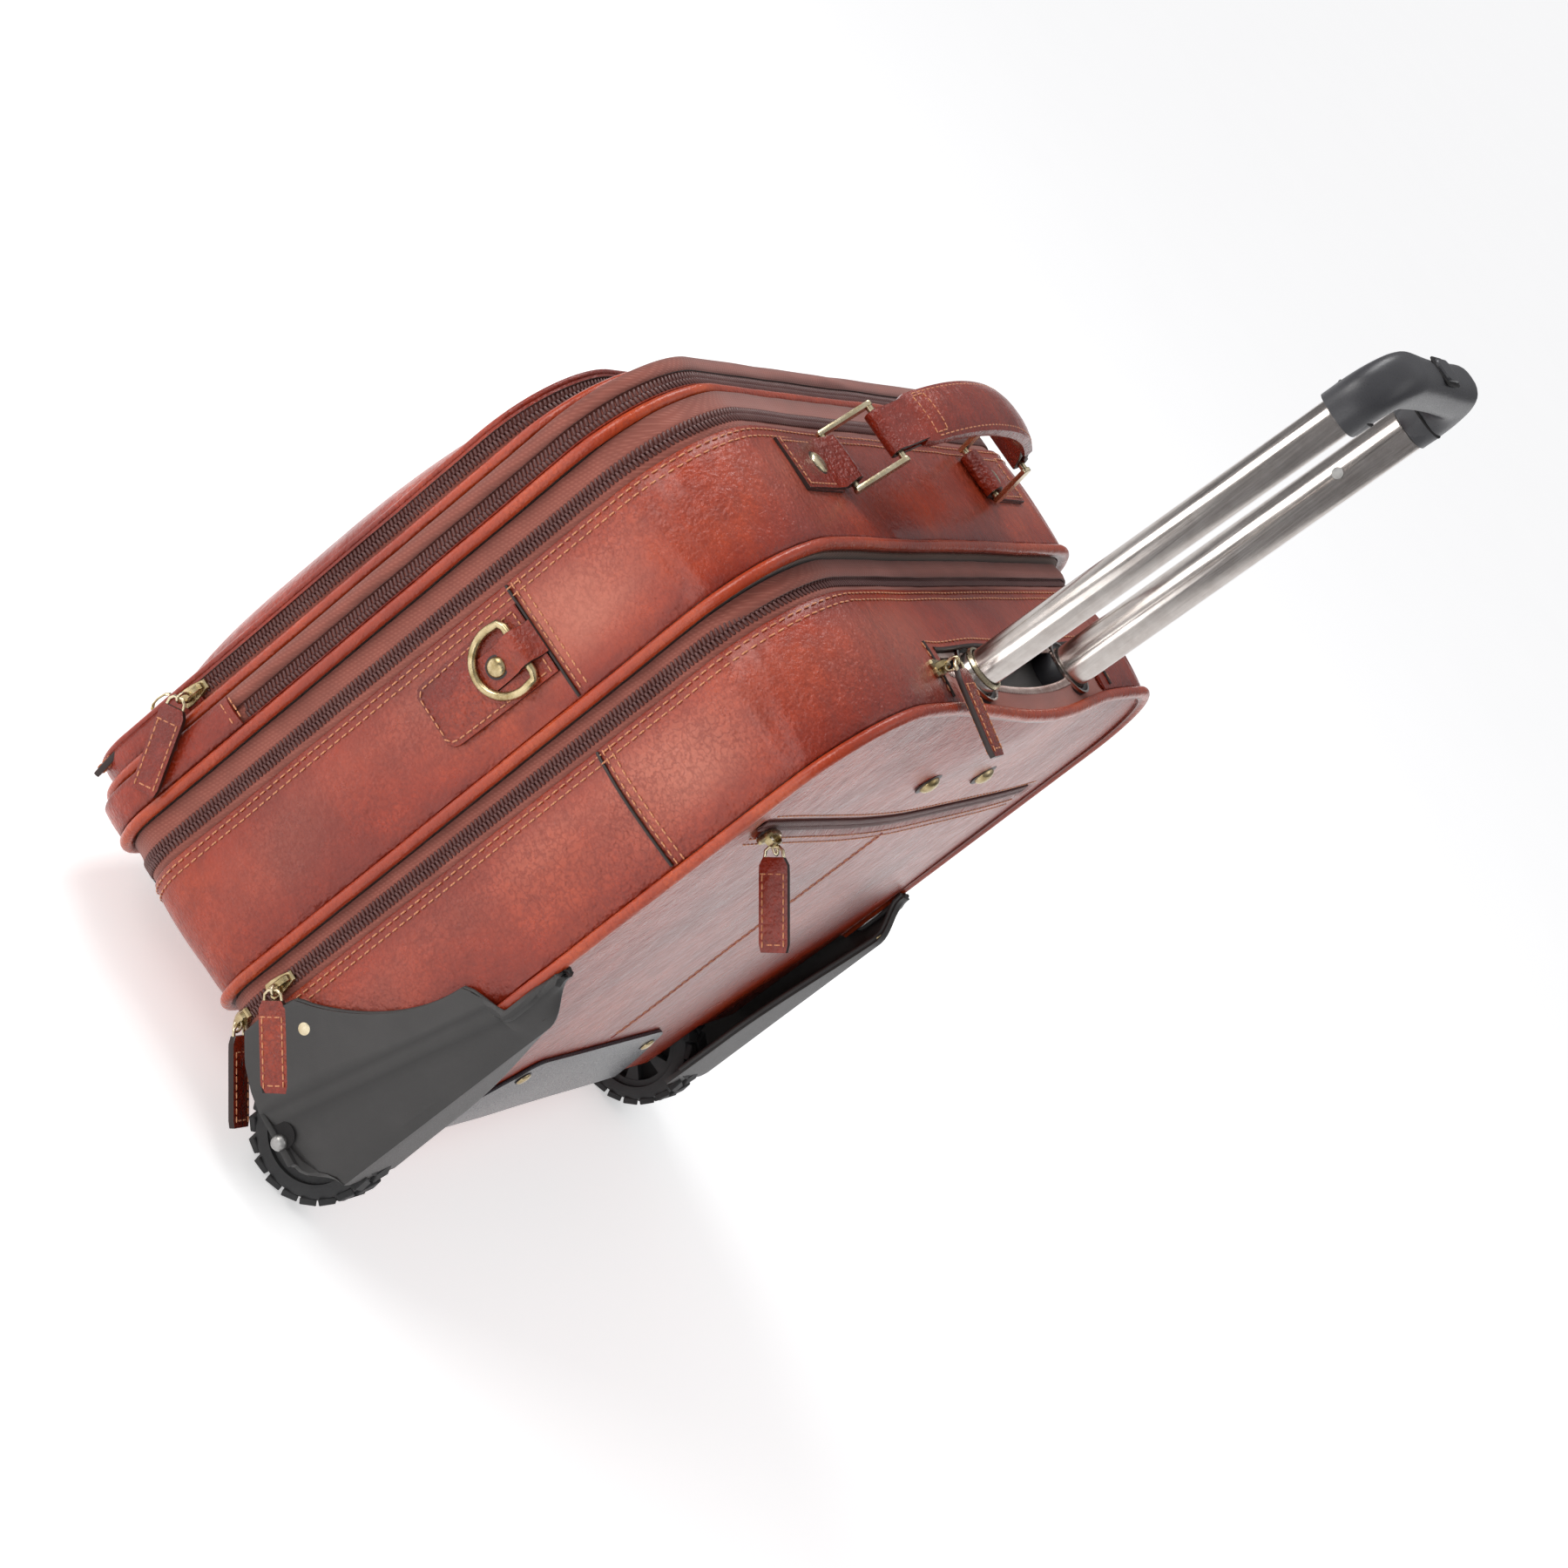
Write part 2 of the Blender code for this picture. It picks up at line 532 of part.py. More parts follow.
def zips():
    """Sliders and their leather pulls, each pull hanging from its slider."""
    side_x = BODY_HALF_W - RECESS + CLEAR
    down = Vector((0, 0, -1))
    corner_out = Vector((math.cos(math.radians(40.0)), 0.0, -math.sin(math.radians(40.0))))
    corner_middle = Vector((BODY_HALF_W - BOTTOM_R, Y_ZIP4, BOTTOM_R))
    corner = corner_middle + corner_out * (BOTTOM_R - RECESS + 2.5 * CLEAR)
    runs = [
        ("rear_upper", (side_x, Y_ZIP4, 0.040), down, (1, 0, 0), (0, HANG.y, HANG.z), 0.0093),
        ("rear_lower", corner, (-0.643, 0, -0.766), corner_out, HANG, 0.0046),
        ("front_pocket", (POCKET_HALF_W - RECESS + 0.0008, Y_ZIP1, 0.079), down, (1, 0, 0),
         (0.06, 0.53, -0.85), 0.0145),
        ("back_pocket", (0.173, Y_BACK + 0.0018, BACK_ZIP_Z), (1, 0, 0), (0, 1, 0), HANG, 0.0046),
        ("slot", (0.1220, 0.0665, REAR_H + CLEAR), (1, 0, 0), (0, 0, 1), (-0.03, 0.97, -0.22), 0.0110),
    ]
    wide_way = {"rear_lower": (1, 0, 0), "back_pocket": (0, 0, 1)}
    for name, place, along, outward, hang, lift in runs:
        slider("slider_" + name, place, along, outward)
        hang = Vector(hang).normalized()
        pivot = Vector(place) + Vector(outward) * lift + hang * 0.0072
        across = wide_way.get(name, Vector(outward).cross(hang))
        pull_tab("pull_" + name, pivot, hang, across)


# ---------------------------------------------------------------- running gear
def wheel_guard(side, tag):
    """A moulded corner guard: side wall, back arm and the wheel's housing, cut for the wheel and its axle."""
    face = BODY_HALF_W + CLEAR
    wall = [(0.0290, 0.0045), (0.0210, 0.0140), (0.0215, 0.0300), (0.0257, 0.0468), (0.0327, 0.0557),
            (0.0428, 0.0650), (0.0516, 0.0752), (0.0584, 0.0867), (0.0645, 0.1042), (0.0684, 0.1204),
            (0.0747, 0.1228), (0.0822, 0.1235), (0.0975, 0.1290), (0.0975, 0.0200), (0.0925, 0.0040),
            (0.0860, -0.0020), (0.0640, -0.0040),
            (0.0420, 0.0020)]
    guard = slab("wheel_guard_" + tag, [wall], side * face, side * (face + 0.0050), "YZ")
    back_y = Y_WELT4 + WELT_R + CLEAR
    arm_outline = [(side * 0.1585, 0.0020), (side * (face + 0.0050), 0.0040), (side * (face + 0.0050), 0.1500),
                   (side * 0.2150, 0.1620), (side * 0.2090, 0.1620), (side * 0.1870, 0.1120), (side * 0.1700, 0.0800),
                   (side * 0.1620, 0.0520)]
    if side < 0:
        arm_outline.reverse()
    arm = slab("guard_arm_" + tag, [arm_outline], back_y, 0.1010)
    low = min(side * 0.1623, side * (face + 0.0030))
    high = max(side * 0.1623, side * (face + 0.0030))
    housing = box("guard_housing_" + tag, (low, 0.0335, 0.0), (high, 0.0970, 0.0395))
    half_gap = WHEEL_W / 2.0 + 0.0020
    wheel_well = rod("guard_well_" + tag, (side * WHEEL_X - half_gap, AXLE_Y, AXLE_Z),
                     (side * WHEEL_X + half_gap, AXLE_Y, AXLE_Z), WHEEL_R + 0.0028, 32)
    well_low = box("guard_well_low_" + tag, (side * WHEEL_X - half_gap, AXLE_Y - WHEEL_R - 0.0028, -0.05),
                   (side * WHEEL_X + half_gap, 0.13, AXLE_Z + 0.014))
    axle_hole = rod("guard_axle_hole_" + tag, (side * 0.10, AXLE_Y, AXLE_Z), (side * 0.30, AXLE_Y, AXLE_Z),
                    AXLE_R + 0.0004)
    join(guard, arm, housing)
    cut(guard, wheel_well, well_low, axle_hole)
    keep(guard, BLACK)


def wheels():
    for side, tag in ((1, "right"), (-1, "left")):
        wheel_guard(side, tag)
        centre = Vector((side * WHEEL_X, AXLE_Y, AXLE_Z))
        tyre = tube("tyre_" + tag, -WHEEL_W / 2.0, WHEEL_W / 2.0, WHEEL_R, 0.0235, 32)
        keep(tyre, TYRE)
        hub = tube("hub_" + tag, -WHEEL_W / 2.0 + 0.002, WHEEL_W / 2.0 - 0.002, 0.0232, 0.0036, 32)
        for k in range(5):
            angle = math.radians(72.0 * k + 36.0)
            spot = (0.0140 * math.cos(angle), 0.0140 * math.sin(angle))
            hole = rod("hub_hole_%s_%d" % (tag, k), (*spot, -0.02), (*spot, 0.02), 0.0042, 10)
            cut(hub, hole)
            hole.parent = hub
        keep(hub, BLACK)
        axle = rod("axle_" + tag, (0, 0, side * 0.1630), (0, 0, side * 0.2246), AXLE_R)
        keep(axle, STEEL)
        for obj in (tyre, hub):
            obj.rotation_euler = (0.0, math.radians(90.0), 0.0)
            obj.location = centre
        axle.rotation_euler = (0.0, math.radians(90.0), 0.0)
        axle.location = (0.0, AXLE_Y, AXLE_Z)


# ---------------------------------------------------------------- trolley
def trolley():
    """Two three-stage tubes leaning back a little. The left middle stage is out, the right one is in."""
    axis = hinge_empty("trolley_axis", (0.0, TUBE_Y, BODY_H))
    axis.rotation_euler = (-TROLLEY_LEAN, 0.0, 0.0)
    foot = 0.017 - BODY_H
    grip_low = GRIP_Z - BODY_H
    grip_high = GRIP_TOP - BODY_H
    middle_top = grip_low - 0.0006 - TRAVEL
    detent_z = grip_low - 0.0380
    for side, tag, out in ((1, "right", 0.0), (-1, "left", TRAVEL)):
        fixed = tube("trolley_outer_tube_" + tag, foot, -0.0630, OUTER_R, OUTER_BORE)
        middle = tube("trolley_middle_tube_" + tag, foot + 0.002 + out, middle_top + out, MID_R, MID_BORE)
        inner = tube("trolley_inner_tube_" + tag, grip_low - 0.0004 - STAGE, grip_low - 0.0004, INNER_R,
                     INNER_R - 0.0012, 20)
        for obj in (fixed, middle, inner):
            keep(obj, STEEL, axis)
            obj.location = (side * TUBE_X, 0.0, 0.0)
        if out > 0.0:
            hole = rod("detent_hole", (-TUBE_X, 0.0, detent_z), (-TUBE_X + 0.03, 0.0, detent_z), 0.0034, 12)
            cut(middle, hole)
            hole.parent = axis
    detent = rod("detent_button", (-TUBE_X + MID_R - 0.0004, 0, detent_z), (-TUBE_X + MID_R + 0.0015, 0, detent_z),
                 0.0030, 12)
    keep(detent, STEEL, axis)
    base = box("trolley_base", (-0.095, 0.046, 0.0045), (0.095, 0.074, 0.0162))
    keep(soften(base, 0.002, 1), BLACK)
    bracket = box("trolley_top_bracket", (-0.096, -0.0150, -0.0620), (0.096, 0.0130, -0.0180))
    for side in (1, -1):
        hole = rod("bracket_hole", (side * TUBE_X, 0, -0.10), (side * TUBE_X, 0, 0.0), MID_R + 0.0006, 24)
        notch = box("bracket_notch", (side * TUBE_X - 0.0150, -0.0045, -0.10), (side * TUBE_X + 0.0150, 0.0045, 0.0))
        cut(bracket, hole, notch)
        hole.parent = axis
        notch.parent = axis
    keep(bracket, BLACK, axis)
    half_span = TUBE_X + 0.0125
    leg_in = TUBE_X - 0.0125
    outline = [(-half_span, grip_low), (-leg_in, grip_low)]
    outline += [(leg_in * x, grip_low + 0.004 + 0.013 * z) for x, z in arc_points((0.0, 0.0), 1.0, 180, 0, 10)]
    outline += [(leg_in, grip_low), (half_span, grip_low)]
    outline += arc_points((half_span - 0.024, grip_high - 0.026), 0.022, 5, 80, 4)
    outline += arc_points((-half_span + 0.024, grip_high - 0.026), 0.022, 100, 175, 4)
    grip = slab("trolley_grip", [outline], -GRIP_HALF, GRIP_HALF)
    soften(grip, 0.0062, 3, 50.0)
    well = box("grip_button_well", (-0.0125, -0.0070, grip_high - 0.0090), (0.0125, 0.0070, grip_high + 0.02))
    cut(grip, well)
    well.parent = axis
    keep(grip, BLACK, axis)
    button = box("grip_button", (-0.0120, -0.0065, grip_high - 0.0050), (0.0120, 0.0065, grip_high + 0.0012))
    keep(soften(button, 0.0012, 1), BLACK, axis)


def main():
    rear_compartment()
    front_section()
    pocket_section()
    front_flap()
    d_rings()
    carry_handle()
    zips()
    wheels()
    trolley()
    bpy.context.view_layer.update()


main()
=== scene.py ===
"""Looks of the rolling laptop case: leather, zips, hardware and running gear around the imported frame.

Pieces are drawn in the case's own frame, as the CAD is: Z = 0 is the leather body's bottom edge, Y = 0 the
middle welt, +X the side with the zip sliders and +Y the back. place() then moves each one into the row frame.
"""
import math

import bmesh
import bpy
from mathutils import Matrix, Vector, noise


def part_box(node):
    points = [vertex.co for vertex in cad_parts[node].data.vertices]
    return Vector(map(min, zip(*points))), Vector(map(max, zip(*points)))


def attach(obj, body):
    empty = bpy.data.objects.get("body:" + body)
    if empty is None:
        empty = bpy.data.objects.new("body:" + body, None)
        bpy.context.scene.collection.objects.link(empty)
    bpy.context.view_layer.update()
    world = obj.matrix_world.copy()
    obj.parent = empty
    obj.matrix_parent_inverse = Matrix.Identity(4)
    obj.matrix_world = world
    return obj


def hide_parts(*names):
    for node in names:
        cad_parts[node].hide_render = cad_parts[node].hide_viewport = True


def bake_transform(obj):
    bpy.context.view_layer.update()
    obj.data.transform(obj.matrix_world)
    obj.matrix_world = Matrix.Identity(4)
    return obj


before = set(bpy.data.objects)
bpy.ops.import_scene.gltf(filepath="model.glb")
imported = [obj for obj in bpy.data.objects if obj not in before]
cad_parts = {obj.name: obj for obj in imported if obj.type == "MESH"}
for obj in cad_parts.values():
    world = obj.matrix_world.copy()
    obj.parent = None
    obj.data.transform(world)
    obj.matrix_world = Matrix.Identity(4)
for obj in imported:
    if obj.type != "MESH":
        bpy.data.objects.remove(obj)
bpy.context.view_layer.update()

# ---------------------------------------------------------------- sizes, from the frame where it has them
SHIFT = Vector((0.0, sum(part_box("middle_welt")[i][1] for i in (0, 1)) / 2.0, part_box("front_gusset")[0][2]))


def low(node, axis):
    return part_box(node)[0][axis] - SHIFT[axis]


def high(node, axis):
    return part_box(node)[1][axis] - SHIFT[axis]


def middle(node):
    return Vector([(low(node, k) + high(node, k)) / 2.0 for k in range(3)])


HALF_W = high("front_gusset", 0)
BODY_H = high("front_gusset", 2)
REAR_H = high("rear_gusset", 2)
SECTION_H = high("pocket_gusset", 2)
POCKET_HALF_W = high("front_zip_tape_pocket", 0) + 0.0022
POCKET_H = high("front_zip_tape_pocket", 2) + 0.0022
TOP_R = 0.054
BOTTOM_R = 0.03
POCKET_R = 0.05
WELT_R = 0.003
Y_WELT1 = middle("front_welt").y
Y_WELT2 = middle("second_welt").y
Y_WELT4 = middle("rear_welt").y
Y_ZIP1 = -0.1232
Y_ZIP2 = -0.098
Y_ZIP3 = (high("organiser_zip_tape", 1) + low("laptop_zip_tape", 1)) / 2.0
Y_ZIP4 = (high("front_zip_tape", 1) + low("rear_zip_tape", 1)) / 2.0
GUSSET = (low("front_gusset", 1), high("front_gusset", 1))
REAR = (low("rear_gusset", 1), high("rear_gusset", 1))
Y_BACK = high("back_panel", 1)
Y_RIM = -0.129
Y_CROWN = low("front_pocket_flap", 1)
FOLD = Vector((0.0, -0.1556, 0.08))       # the front pocket's fold line
RECESS = 0.0022                           # zip tapes lie this far under the leather
SEAM_Z = 0.242                            # the main gusset's overlap seam
REAR_SEAM_Z = 0.234                       # the rear gusset's overlap seam
ZIP2_START = 0.1                          # the organiser's zip starts at this height on each side
GAP = 0.0003                              # clear air between pieces that lie side by side
SIDES = ((1, "right"), (-1, "left"))

# ---------------------------------------------------------------- materials


def add(tree, kind, inputs=(), **settings):
    """One shader node: settings are its own fields, inputs are values or sockets to link."""
    made = tree.nodes.new(kind)
    for field, value in settings.items():
        setattr(made, field, value)
    for key, value in dict(inputs).items():
        if isinstance(value, bpy.types.NodeSocket):
            tree.links.new(value, made.inputs[key])
        else:
            made.inputs[key].default_value = value
    return made


def blank(name, colour, roughness, metallic=0.0, **shader_values):
    """A Principled material and its tree, shader and object coordinates."""
    made = bpy.data.materials.new(name)
    made.use_nodes = True
    tree = made.node_tree
    shader = tree.nodes["Principled BSDF"]
    shader.inputs["Base Color"].default_value = (*colour, 1.0)
    shader.inputs["Roughness"].default_value = roughness
    shader.inputs["Metallic"].default_value = metallic
    for key, value in shader_values.items():
        shader.inputs[key.replace("_", " ")].default_value = value
    coords = tree.nodes.new("ShaderNodeTexCoord").outputs["Object"]
    return made, tree, shader, coords


def noise_of(tree, coords, scale, detail=3.0, rough=0.5, stretch=None):
    if stretch:
        coords = add(tree, "ShaderNodeMapping", {"Vector": coords, "Scale": stretch}).outputs[0]
    return add(tree, "ShaderNodeTexNoise", {"Vector": coords, "Scale": scale, "Detail": detail,
                                            "Roughness": rough}).outputs["Fac"]


def ramp(tree, value, stops):
    """A colour ramp over a value: stops are (position, colour)."""
    made = add(tree, "ShaderNodeValToRGB", {"Fac": value})
    points = made.color_ramp.elements
    while len(points) < len(stops):
        points.new(0.5)
    for point, (place_at, colour) in zip(points, stops):
        point.position = place_at
        point.color = (*colour, 1.0)
    return made.outputs["Color"]


def spread(tree, value, from_low, from_high, to_low, to_high):
    return add(tree, "ShaderNodeMapRange", {"Value": value, "From Min": from_low, "From Max": from_high,
                                            "To Min": to_low, "To Max": to_high}).outputs["Result"]


def maths(tree, operation, a, b):
    made = tree.nodes.new("ShaderNodeMath")
    made.operation = operation
    for socket, value in zip(made.inputs, (a, b)):
        if isinstance(value, bpy.types.NodeSocket):
            tree.links.new(value, socket)
        else:
            socket.default_value = value
    return made.outputs[0]


def mix(tree, factor, a, b):
    made = tree.nodes.new("ShaderNodeMix")
    made.data_type = "RGBA"
    for key, value in ((0, factor), (6, a), (7, b)):
        if isinstance(value, bpy.types.NodeSocket):
            tree.links.new(value, made.inputs[key])
        else:
            made.inputs[key].default_value = value if key == 0 else (*value, 1.0)
    return made.outputs[2]


def bump(tree, shader, height, distance, strength):
    made = add(tree, "ShaderNodeBump", {"Height": height, "Distance": distance, "Strength": strength})
    tree.links.new(made.outputs["Normal"], shader.inputs["Normal"])


def leather(name, deep, mid, pale, gloss=0.3, grain=1.0):
    """Glazed leather: cloudy colour, pebble grain and fine creases, with painted shade where "shade" says and
    a pale painted sheen where the sheen attribute says.
    """
    made, tree, shader, coords = blank(name, mid, gloss, Coat_Weight=0.35, Coat_Roughness=0.24,
                                       Specular_IOR_Level=0.36)
    cloud = noise_of(tree, coords, 11.0, 5.0, 0.55)
    colour = ramp(tree, cloud, [(0.34, deep), (0.5, mid), (0.66, pale)])
    mottle = noise_of(tree, coords, 130.0, 5.0, 0.62, (1.0, 0.7, 0.6))
    colour = mix(tree, spread(tree, mottle, 0.4, 0.68, 0.0, 0.6), colour, deep)
    cells = add(tree, "ShaderNodeTexVoronoi", {"Vector": coords, "Scale": 620.0, "Randomness": 1.0},
                feature="SMOOTH_F1")
    # painted shade: darker where the mesh's "shade" attribute says, standing in for the shade along seams and
    # creases
    painted_shade_mask = add(tree, "ShaderNodeAttribute", attribute_name="shade")
    painted_shade_colour = tuple(0.3 * part for part in deep)
    colour = mix(tree, painted_shade_mask.outputs["Fac"], colour, painted_shade_colour)
    # painted sheen: a pale pinkish tone where the mesh's sheen attribute says, standing in for the soft
    # highlight on the gussets' full middles
    painted_sheen = add(tree, "ShaderNodeAttribute", attribute_name="painted_sheen")
    painted_sheen_colour = tuple(part + step for part, step in zip(pale, (0.09, 0.1, 0.085)))
    colour = mix(tree, painted_sheen.outputs["Fac"], colour, painted_sheen_colour)
    pit = spread(tree, cells.outputs["Distance"], 0.0, 0.9, 0.0, 1.0)
    colour = mix(tree, spread(tree, pit, 0.55, 1.0, 0.0, 0.3), colour, deep)
    creases = noise_of(tree, coords, 62.0, 6.0, 0.66, (1.0, 0.55, 1.0))
    folds = noise_of(tree, coords, 150.0, 3.0, 0.5, (1.0, 0.8, 0.6))
    folds = maths(tree, "ABSOLUTE", maths(tree, "SUBTRACT", folds, 0.5), 0.0)
    fine = noise_of(tree, coords, 1500.0, 2.0, 0.5)
    zone = spread(tree, noise_of(tree, coords, 16.0, 2.0), 0.35, 0.65, 0.35, 1.0)
    pores = noise_of(tree, coords, 430.0, 2.0, 0.5, (1.0, 0.6, 0.8))
    pores = maths(tree, "ABSOLUTE", maths(tree, "SUBTRACT", pores, 0.5), 0.0)
    dyed = maths(tree, "MULTIPLY", spread(tree, pores, 0.0, 0.1, 0.55, 0.0), zone)
    colour = mix(tree, dyed, colour, deep)
    tree.links.new(colour, shader.inputs["Base Color"])
    height = maths(tree, "MULTIPLY", maths(tree, "SUBTRACT", 1.0, pit), zone)
    height = maths(tree, "ADD", height, maths(tree, "MULTIPLY", creases, 5.0))
    height = maths(tree, "ADD", height, maths(tree, "MULTIPLY", maths(tree, "MULTIPLY", folds, zone), 4.0))
    height = maths(tree, "ADD", height, maths(tree, "MULTIPLY", fine, 0.25))
    bump(tree, shader, height, 0.00062 * grain, 0.85)
    rough = spread(tree, mottle, 0.3, 0.8, gloss - 0.05, gloss + 0.12)
    tree.links.new(rough, shader.inputs["Roughness"])
    return made


def woven(name, warp, weft, scale=1400.0, sheen=0.25):
    """Woven tape or lining: fine crossed threads with a little fuzz, and painted shade where the "shade"
    attribute says.
    """
    made, tree, shader, coords = blank(name, warp, 0.78, Sheen_Weight=sheen, Sheen_Roughness=0.5)
    diagonal = add(tree, "ShaderNodeMapping", {"Vector": coords, "Rotation": (0.6, 0.5, 0.785)}).outputs[0]
    across = add(tree, "ShaderNodeTexWave", {"Vector": diagonal, "Scale": scale / 6.28, "Distortion": 0.4},
                 bands_direction="X").outputs["Fac"]
    along = add(tree, "ShaderNodeTexWave", {"Vector": diagonal, "Scale": scale / 6.28, "Distortion": 0.4},
                bands_direction="Y").outputs["Fac"]
    weave = maths(tree, "MULTIPLY", across, along)
    patches = noise_of(tree, coords, 60.0, 4.0)
    colour = mix(tree, weave, warp, weft)
    colour = mix(tree, spread(tree, patches, 0.3, 0.8, 0.0, 0.5), colour, tuple(0.55 * part for part in warp))
    # painted shade, darker where the mesh's "shade" attribute says
    shade = add(tree, "ShaderNodeAttribute", attribute_name="shade")
    colour = mix(tree, shade.outputs["Fac"], colour, tuple(0.25 * part for part in warp))
    tree.links.new(colour, shader.inputs["Base Color"])
    bump(tree, shader, weave, 0.0002, 0.6)
    return made


def metal(name, bright, dull, roughness, scratch=0.5, stretch=(1.0, 1.0, 1.0)):
    """Metal with slight tarnish and fine scratches."""
    made, tree, shader, coords = blank(name, bright, roughness, 1.0)
    tarnish = noise_of(tree, coords, 140.0, 5.0, 0.6)
    tree.links.new(ramp(tree, tarnish, [(0.35, dull), (0.6, bright)]), shader.inputs["Base Color"])
    fine = noise_of(tree, coords, 900.0, 3.0, 0.6, stretch)
    rough = spread(tree, fine, 0.3, 0.7, roughness * 0.75, roughness * 1.35)
    tree.links.new(rough, shader.inputs["Roughness"])
    bump(tree, shader, fine, 0.00005, scratch)
    return made


def plastic(name, base, worn, roughness, grain=2600.0, depth=0.00012):
    """Moulded plastic or rubber: fine spark-eroded grain, faint dusty worn patches, and painted shade where
    the "shade" attribute says.
    """
    made, tree, shader, coords = blank(name, base, roughness, Specular_IOR_Level=0.45)
    dust = noise_of(tree, coords, 38.0, 5.0, 0.6)
    speck = noise_of(tree, coords, grain, 2.0, 0.5)
    colour = mix(tree, spread(tree, dust, 0.45, 0.85, 0.0, 0.55), base, worn)
    # painted shade, darker where the mesh's "shade" attribute says, as on the guard's facet edges
    shade = add(tree, "ShaderNodeAttribute", attribute_name="shade")
    colour = mix(tree, shade.outputs["Fac"], colour, tuple(0.3 * part for part in base))
    tree.links.new(colour, shader.inputs["Base Color"])
    rough = spread(tree, speck, 0.3, 0.7, roughness - 0.08, roughness + 0.1)
    tree.links.new(rough, shader.inputs["Roughness"])
    bump(tree, shader, speck, depth, 0.6)
    return made


def edge_paint_and_shadow():
    """The dark paint on the leather's cut edges; the same colour also serves as painted shadow under studs and
    rivets.
    """
    made, tree, shader, coords = blank("dark_edge_paint_and_shadow", (0.02, 0.008, 0.006), 0.42)
    bump(tree, shader, noise_of(tree, coords, 500.0, 3.0), 0.0001, 0.5)
    return made


def thread():
    """Waxed orange thread with a visible twist."""
    made, tree, shader, coords = blank("orange_thread", (0.6, 0.24, 0.105), 0.62, Sheen_Weight=0.2)
    twist = add(tree, "ShaderNodeTexWave", {"Vector": coords, "Scale": 420.0, "Distortion": 1.0},
                bands_direction="DIAGONAL").outputs["Fac"]
    colour = mix(tree, twist, (0.44, 0.14, 0.05), (0.68, 0.3, 0.14))
    tree.links.new(colour, shader.inputs["Base Color"])
    bump(tree, shader, twist, 0.0001, 0.7)
    return made


LEATHER = leather("cognac_leather", (0.17, 0.011, 0.0022), (0.31, 0.025, 0.0036), (0.4, 0.045, 0.007))
GLOSSY = leather("handle_leather", (0.12, 0.008, 0.0022), (0.24, 0.017, 0.0034), (0.32, 0.033, 0.006),
                 0.24, 1.3)
PIPING = leather("piping_leather", (0.27, 0.025, 0.005), (0.4, 0.045, 0.008), (0.47, 0.07, 0.013), 0.28, 0.6)
EDGE_PAINT_AND_SHADOW = edge_paint_and_shadow()
THREAD = thread()
TAPE = woven("zip_tape_cloth", (0.25, 0.062, 0.04), (0.34, 0.105, 0.072))
COIL = plastic("zip_coil_nylon", (0.09, 0.03, 0.026), (0.15, 0.066, 0.056), 0.36, 900.0)
SLOT_TEETH = metal("slot_zip_teeth", (0.42, 0.33, 0.3), (0.26, 0.17, 0.15), 0.35)
LINING = woven("lining_cloth", (0.105, 0.04, 0.018), (0.165, 0.07, 0.034), 900.0)
BRASS = metal("antique_brass", (0.56, 0.455, 0.27), (0.3, 0.225, 0.105), 0.27)
PALE_BRASS = metal("light_brass", (0.7, 0.62, 0.44), (0.52, 0.43, 0.27), 0.24)
STEEL = metal("champagne_tube", (0.64, 0.59, 0.555), (0.56, 0.505, 0.47), 0.2, 0.3, (1.0, 1.0, 0.02))
ZINC = metal("zinc_plate", (0.38, 0.375, 0.365), (0.24, 0.235, 0.225), 0.4)
GUARD = plastic("guard_plastic", (0.036, 0.034, 0.033), (0.056, 0.053, 0.051), 0.46)
SATIN = plastic("grip_plastic", (0.034, 0.034, 0.038), (0.056, 0.056, 0.062), 0.34, 1800.0, 0.00006)
RUBBER = plastic("tyre_rubber", (0.03, 0.03, 0.031), (0.062, 0.06, 0.058), 0.68)
BUMPER = plastic("bumper_plastic", (0.03, 0.03, 0.037), (0.05, 0.049, 0.056), 0.27, 1500.0, 0.00004)
# near-black painted shade for hollows, grooves and gaps: the hub's web, the grip's groove ring, the button's
# frame, the axle's recess
PAINTED_SHADE_BLACK = plastic("painted_shade_black", (0.006, 0.005, 0.005), (0.01, 0.009, 0.009), 0.8)

# ---------------------------------------------------------------- placing and small mesh helpers


def place(obj, body, nodes=()):
    """Move a finished piece into the row frame, link it, parent it to its body, and hide the CAD nodes it
    stands for.
    """
    obj.data.transform(Matrix.Translation(SHIFT))
    bpy.context.scene.collection.objects.link(obj)
    if body:
        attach(obj, body)
    if nodes:
        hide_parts(*nodes)
    return obj


def mesh_object(name, verts, faces, materials, indices=None, shade=None, smooth_angle=40.0):
    mesh = bpy.data.meshes.new(name)
    mesh.from_pydata([tuple(v) for v in verts], [], faces)
    for material in materials:
        mesh.materials.append(material)
    if indices:
        mesh.polygons.foreach_set("material_index", indices)
    if shade:
        mesh.attributes.new("shade", "FLOAT", "POINT").data.foreach_set("value", shade)
    tidy = bmesh.new()
    tidy.from_mesh(mesh)
    bmesh.ops.recalc_face_normals(tidy, faces=tidy.faces)
    tidy.to_mesh(mesh)
    tidy.free()
    mesh.shade_smooth()
    mesh.set_sharp_from_angle(angle=math.radians(smooth_angle))
    return bpy.data.objects.new(name, mesh)


def combined(name, parts):
    """Several mesh objects, not yet linked, as one."""
    verts, faces, indices, shade, materials = [], [], [], [], []
    for part in parts:
        base = len(verts)
        mesh = part.data
        slots = []
        for material in mesh.materials:
            if material not in materials:
                materials.append(material)
            slots.append(materials.index(material))
        verts += [part.matrix_world @ v.co for v in mesh.vertices]
        faces += [[base + k for k in face.vertices] for face in mesh.polygons]
        indices += [slots[face.material_index] for face in mesh.polygons]
        layer = mesh.attributes.get("shade")
        shade += [item.value for item in layer.data] if layer else [0.0] * len(mesh.vertices)
        bpy.data.objects.remove(part, do_unlink=True)
    return mesh_object(name, verts, faces, materials, indices, shade)


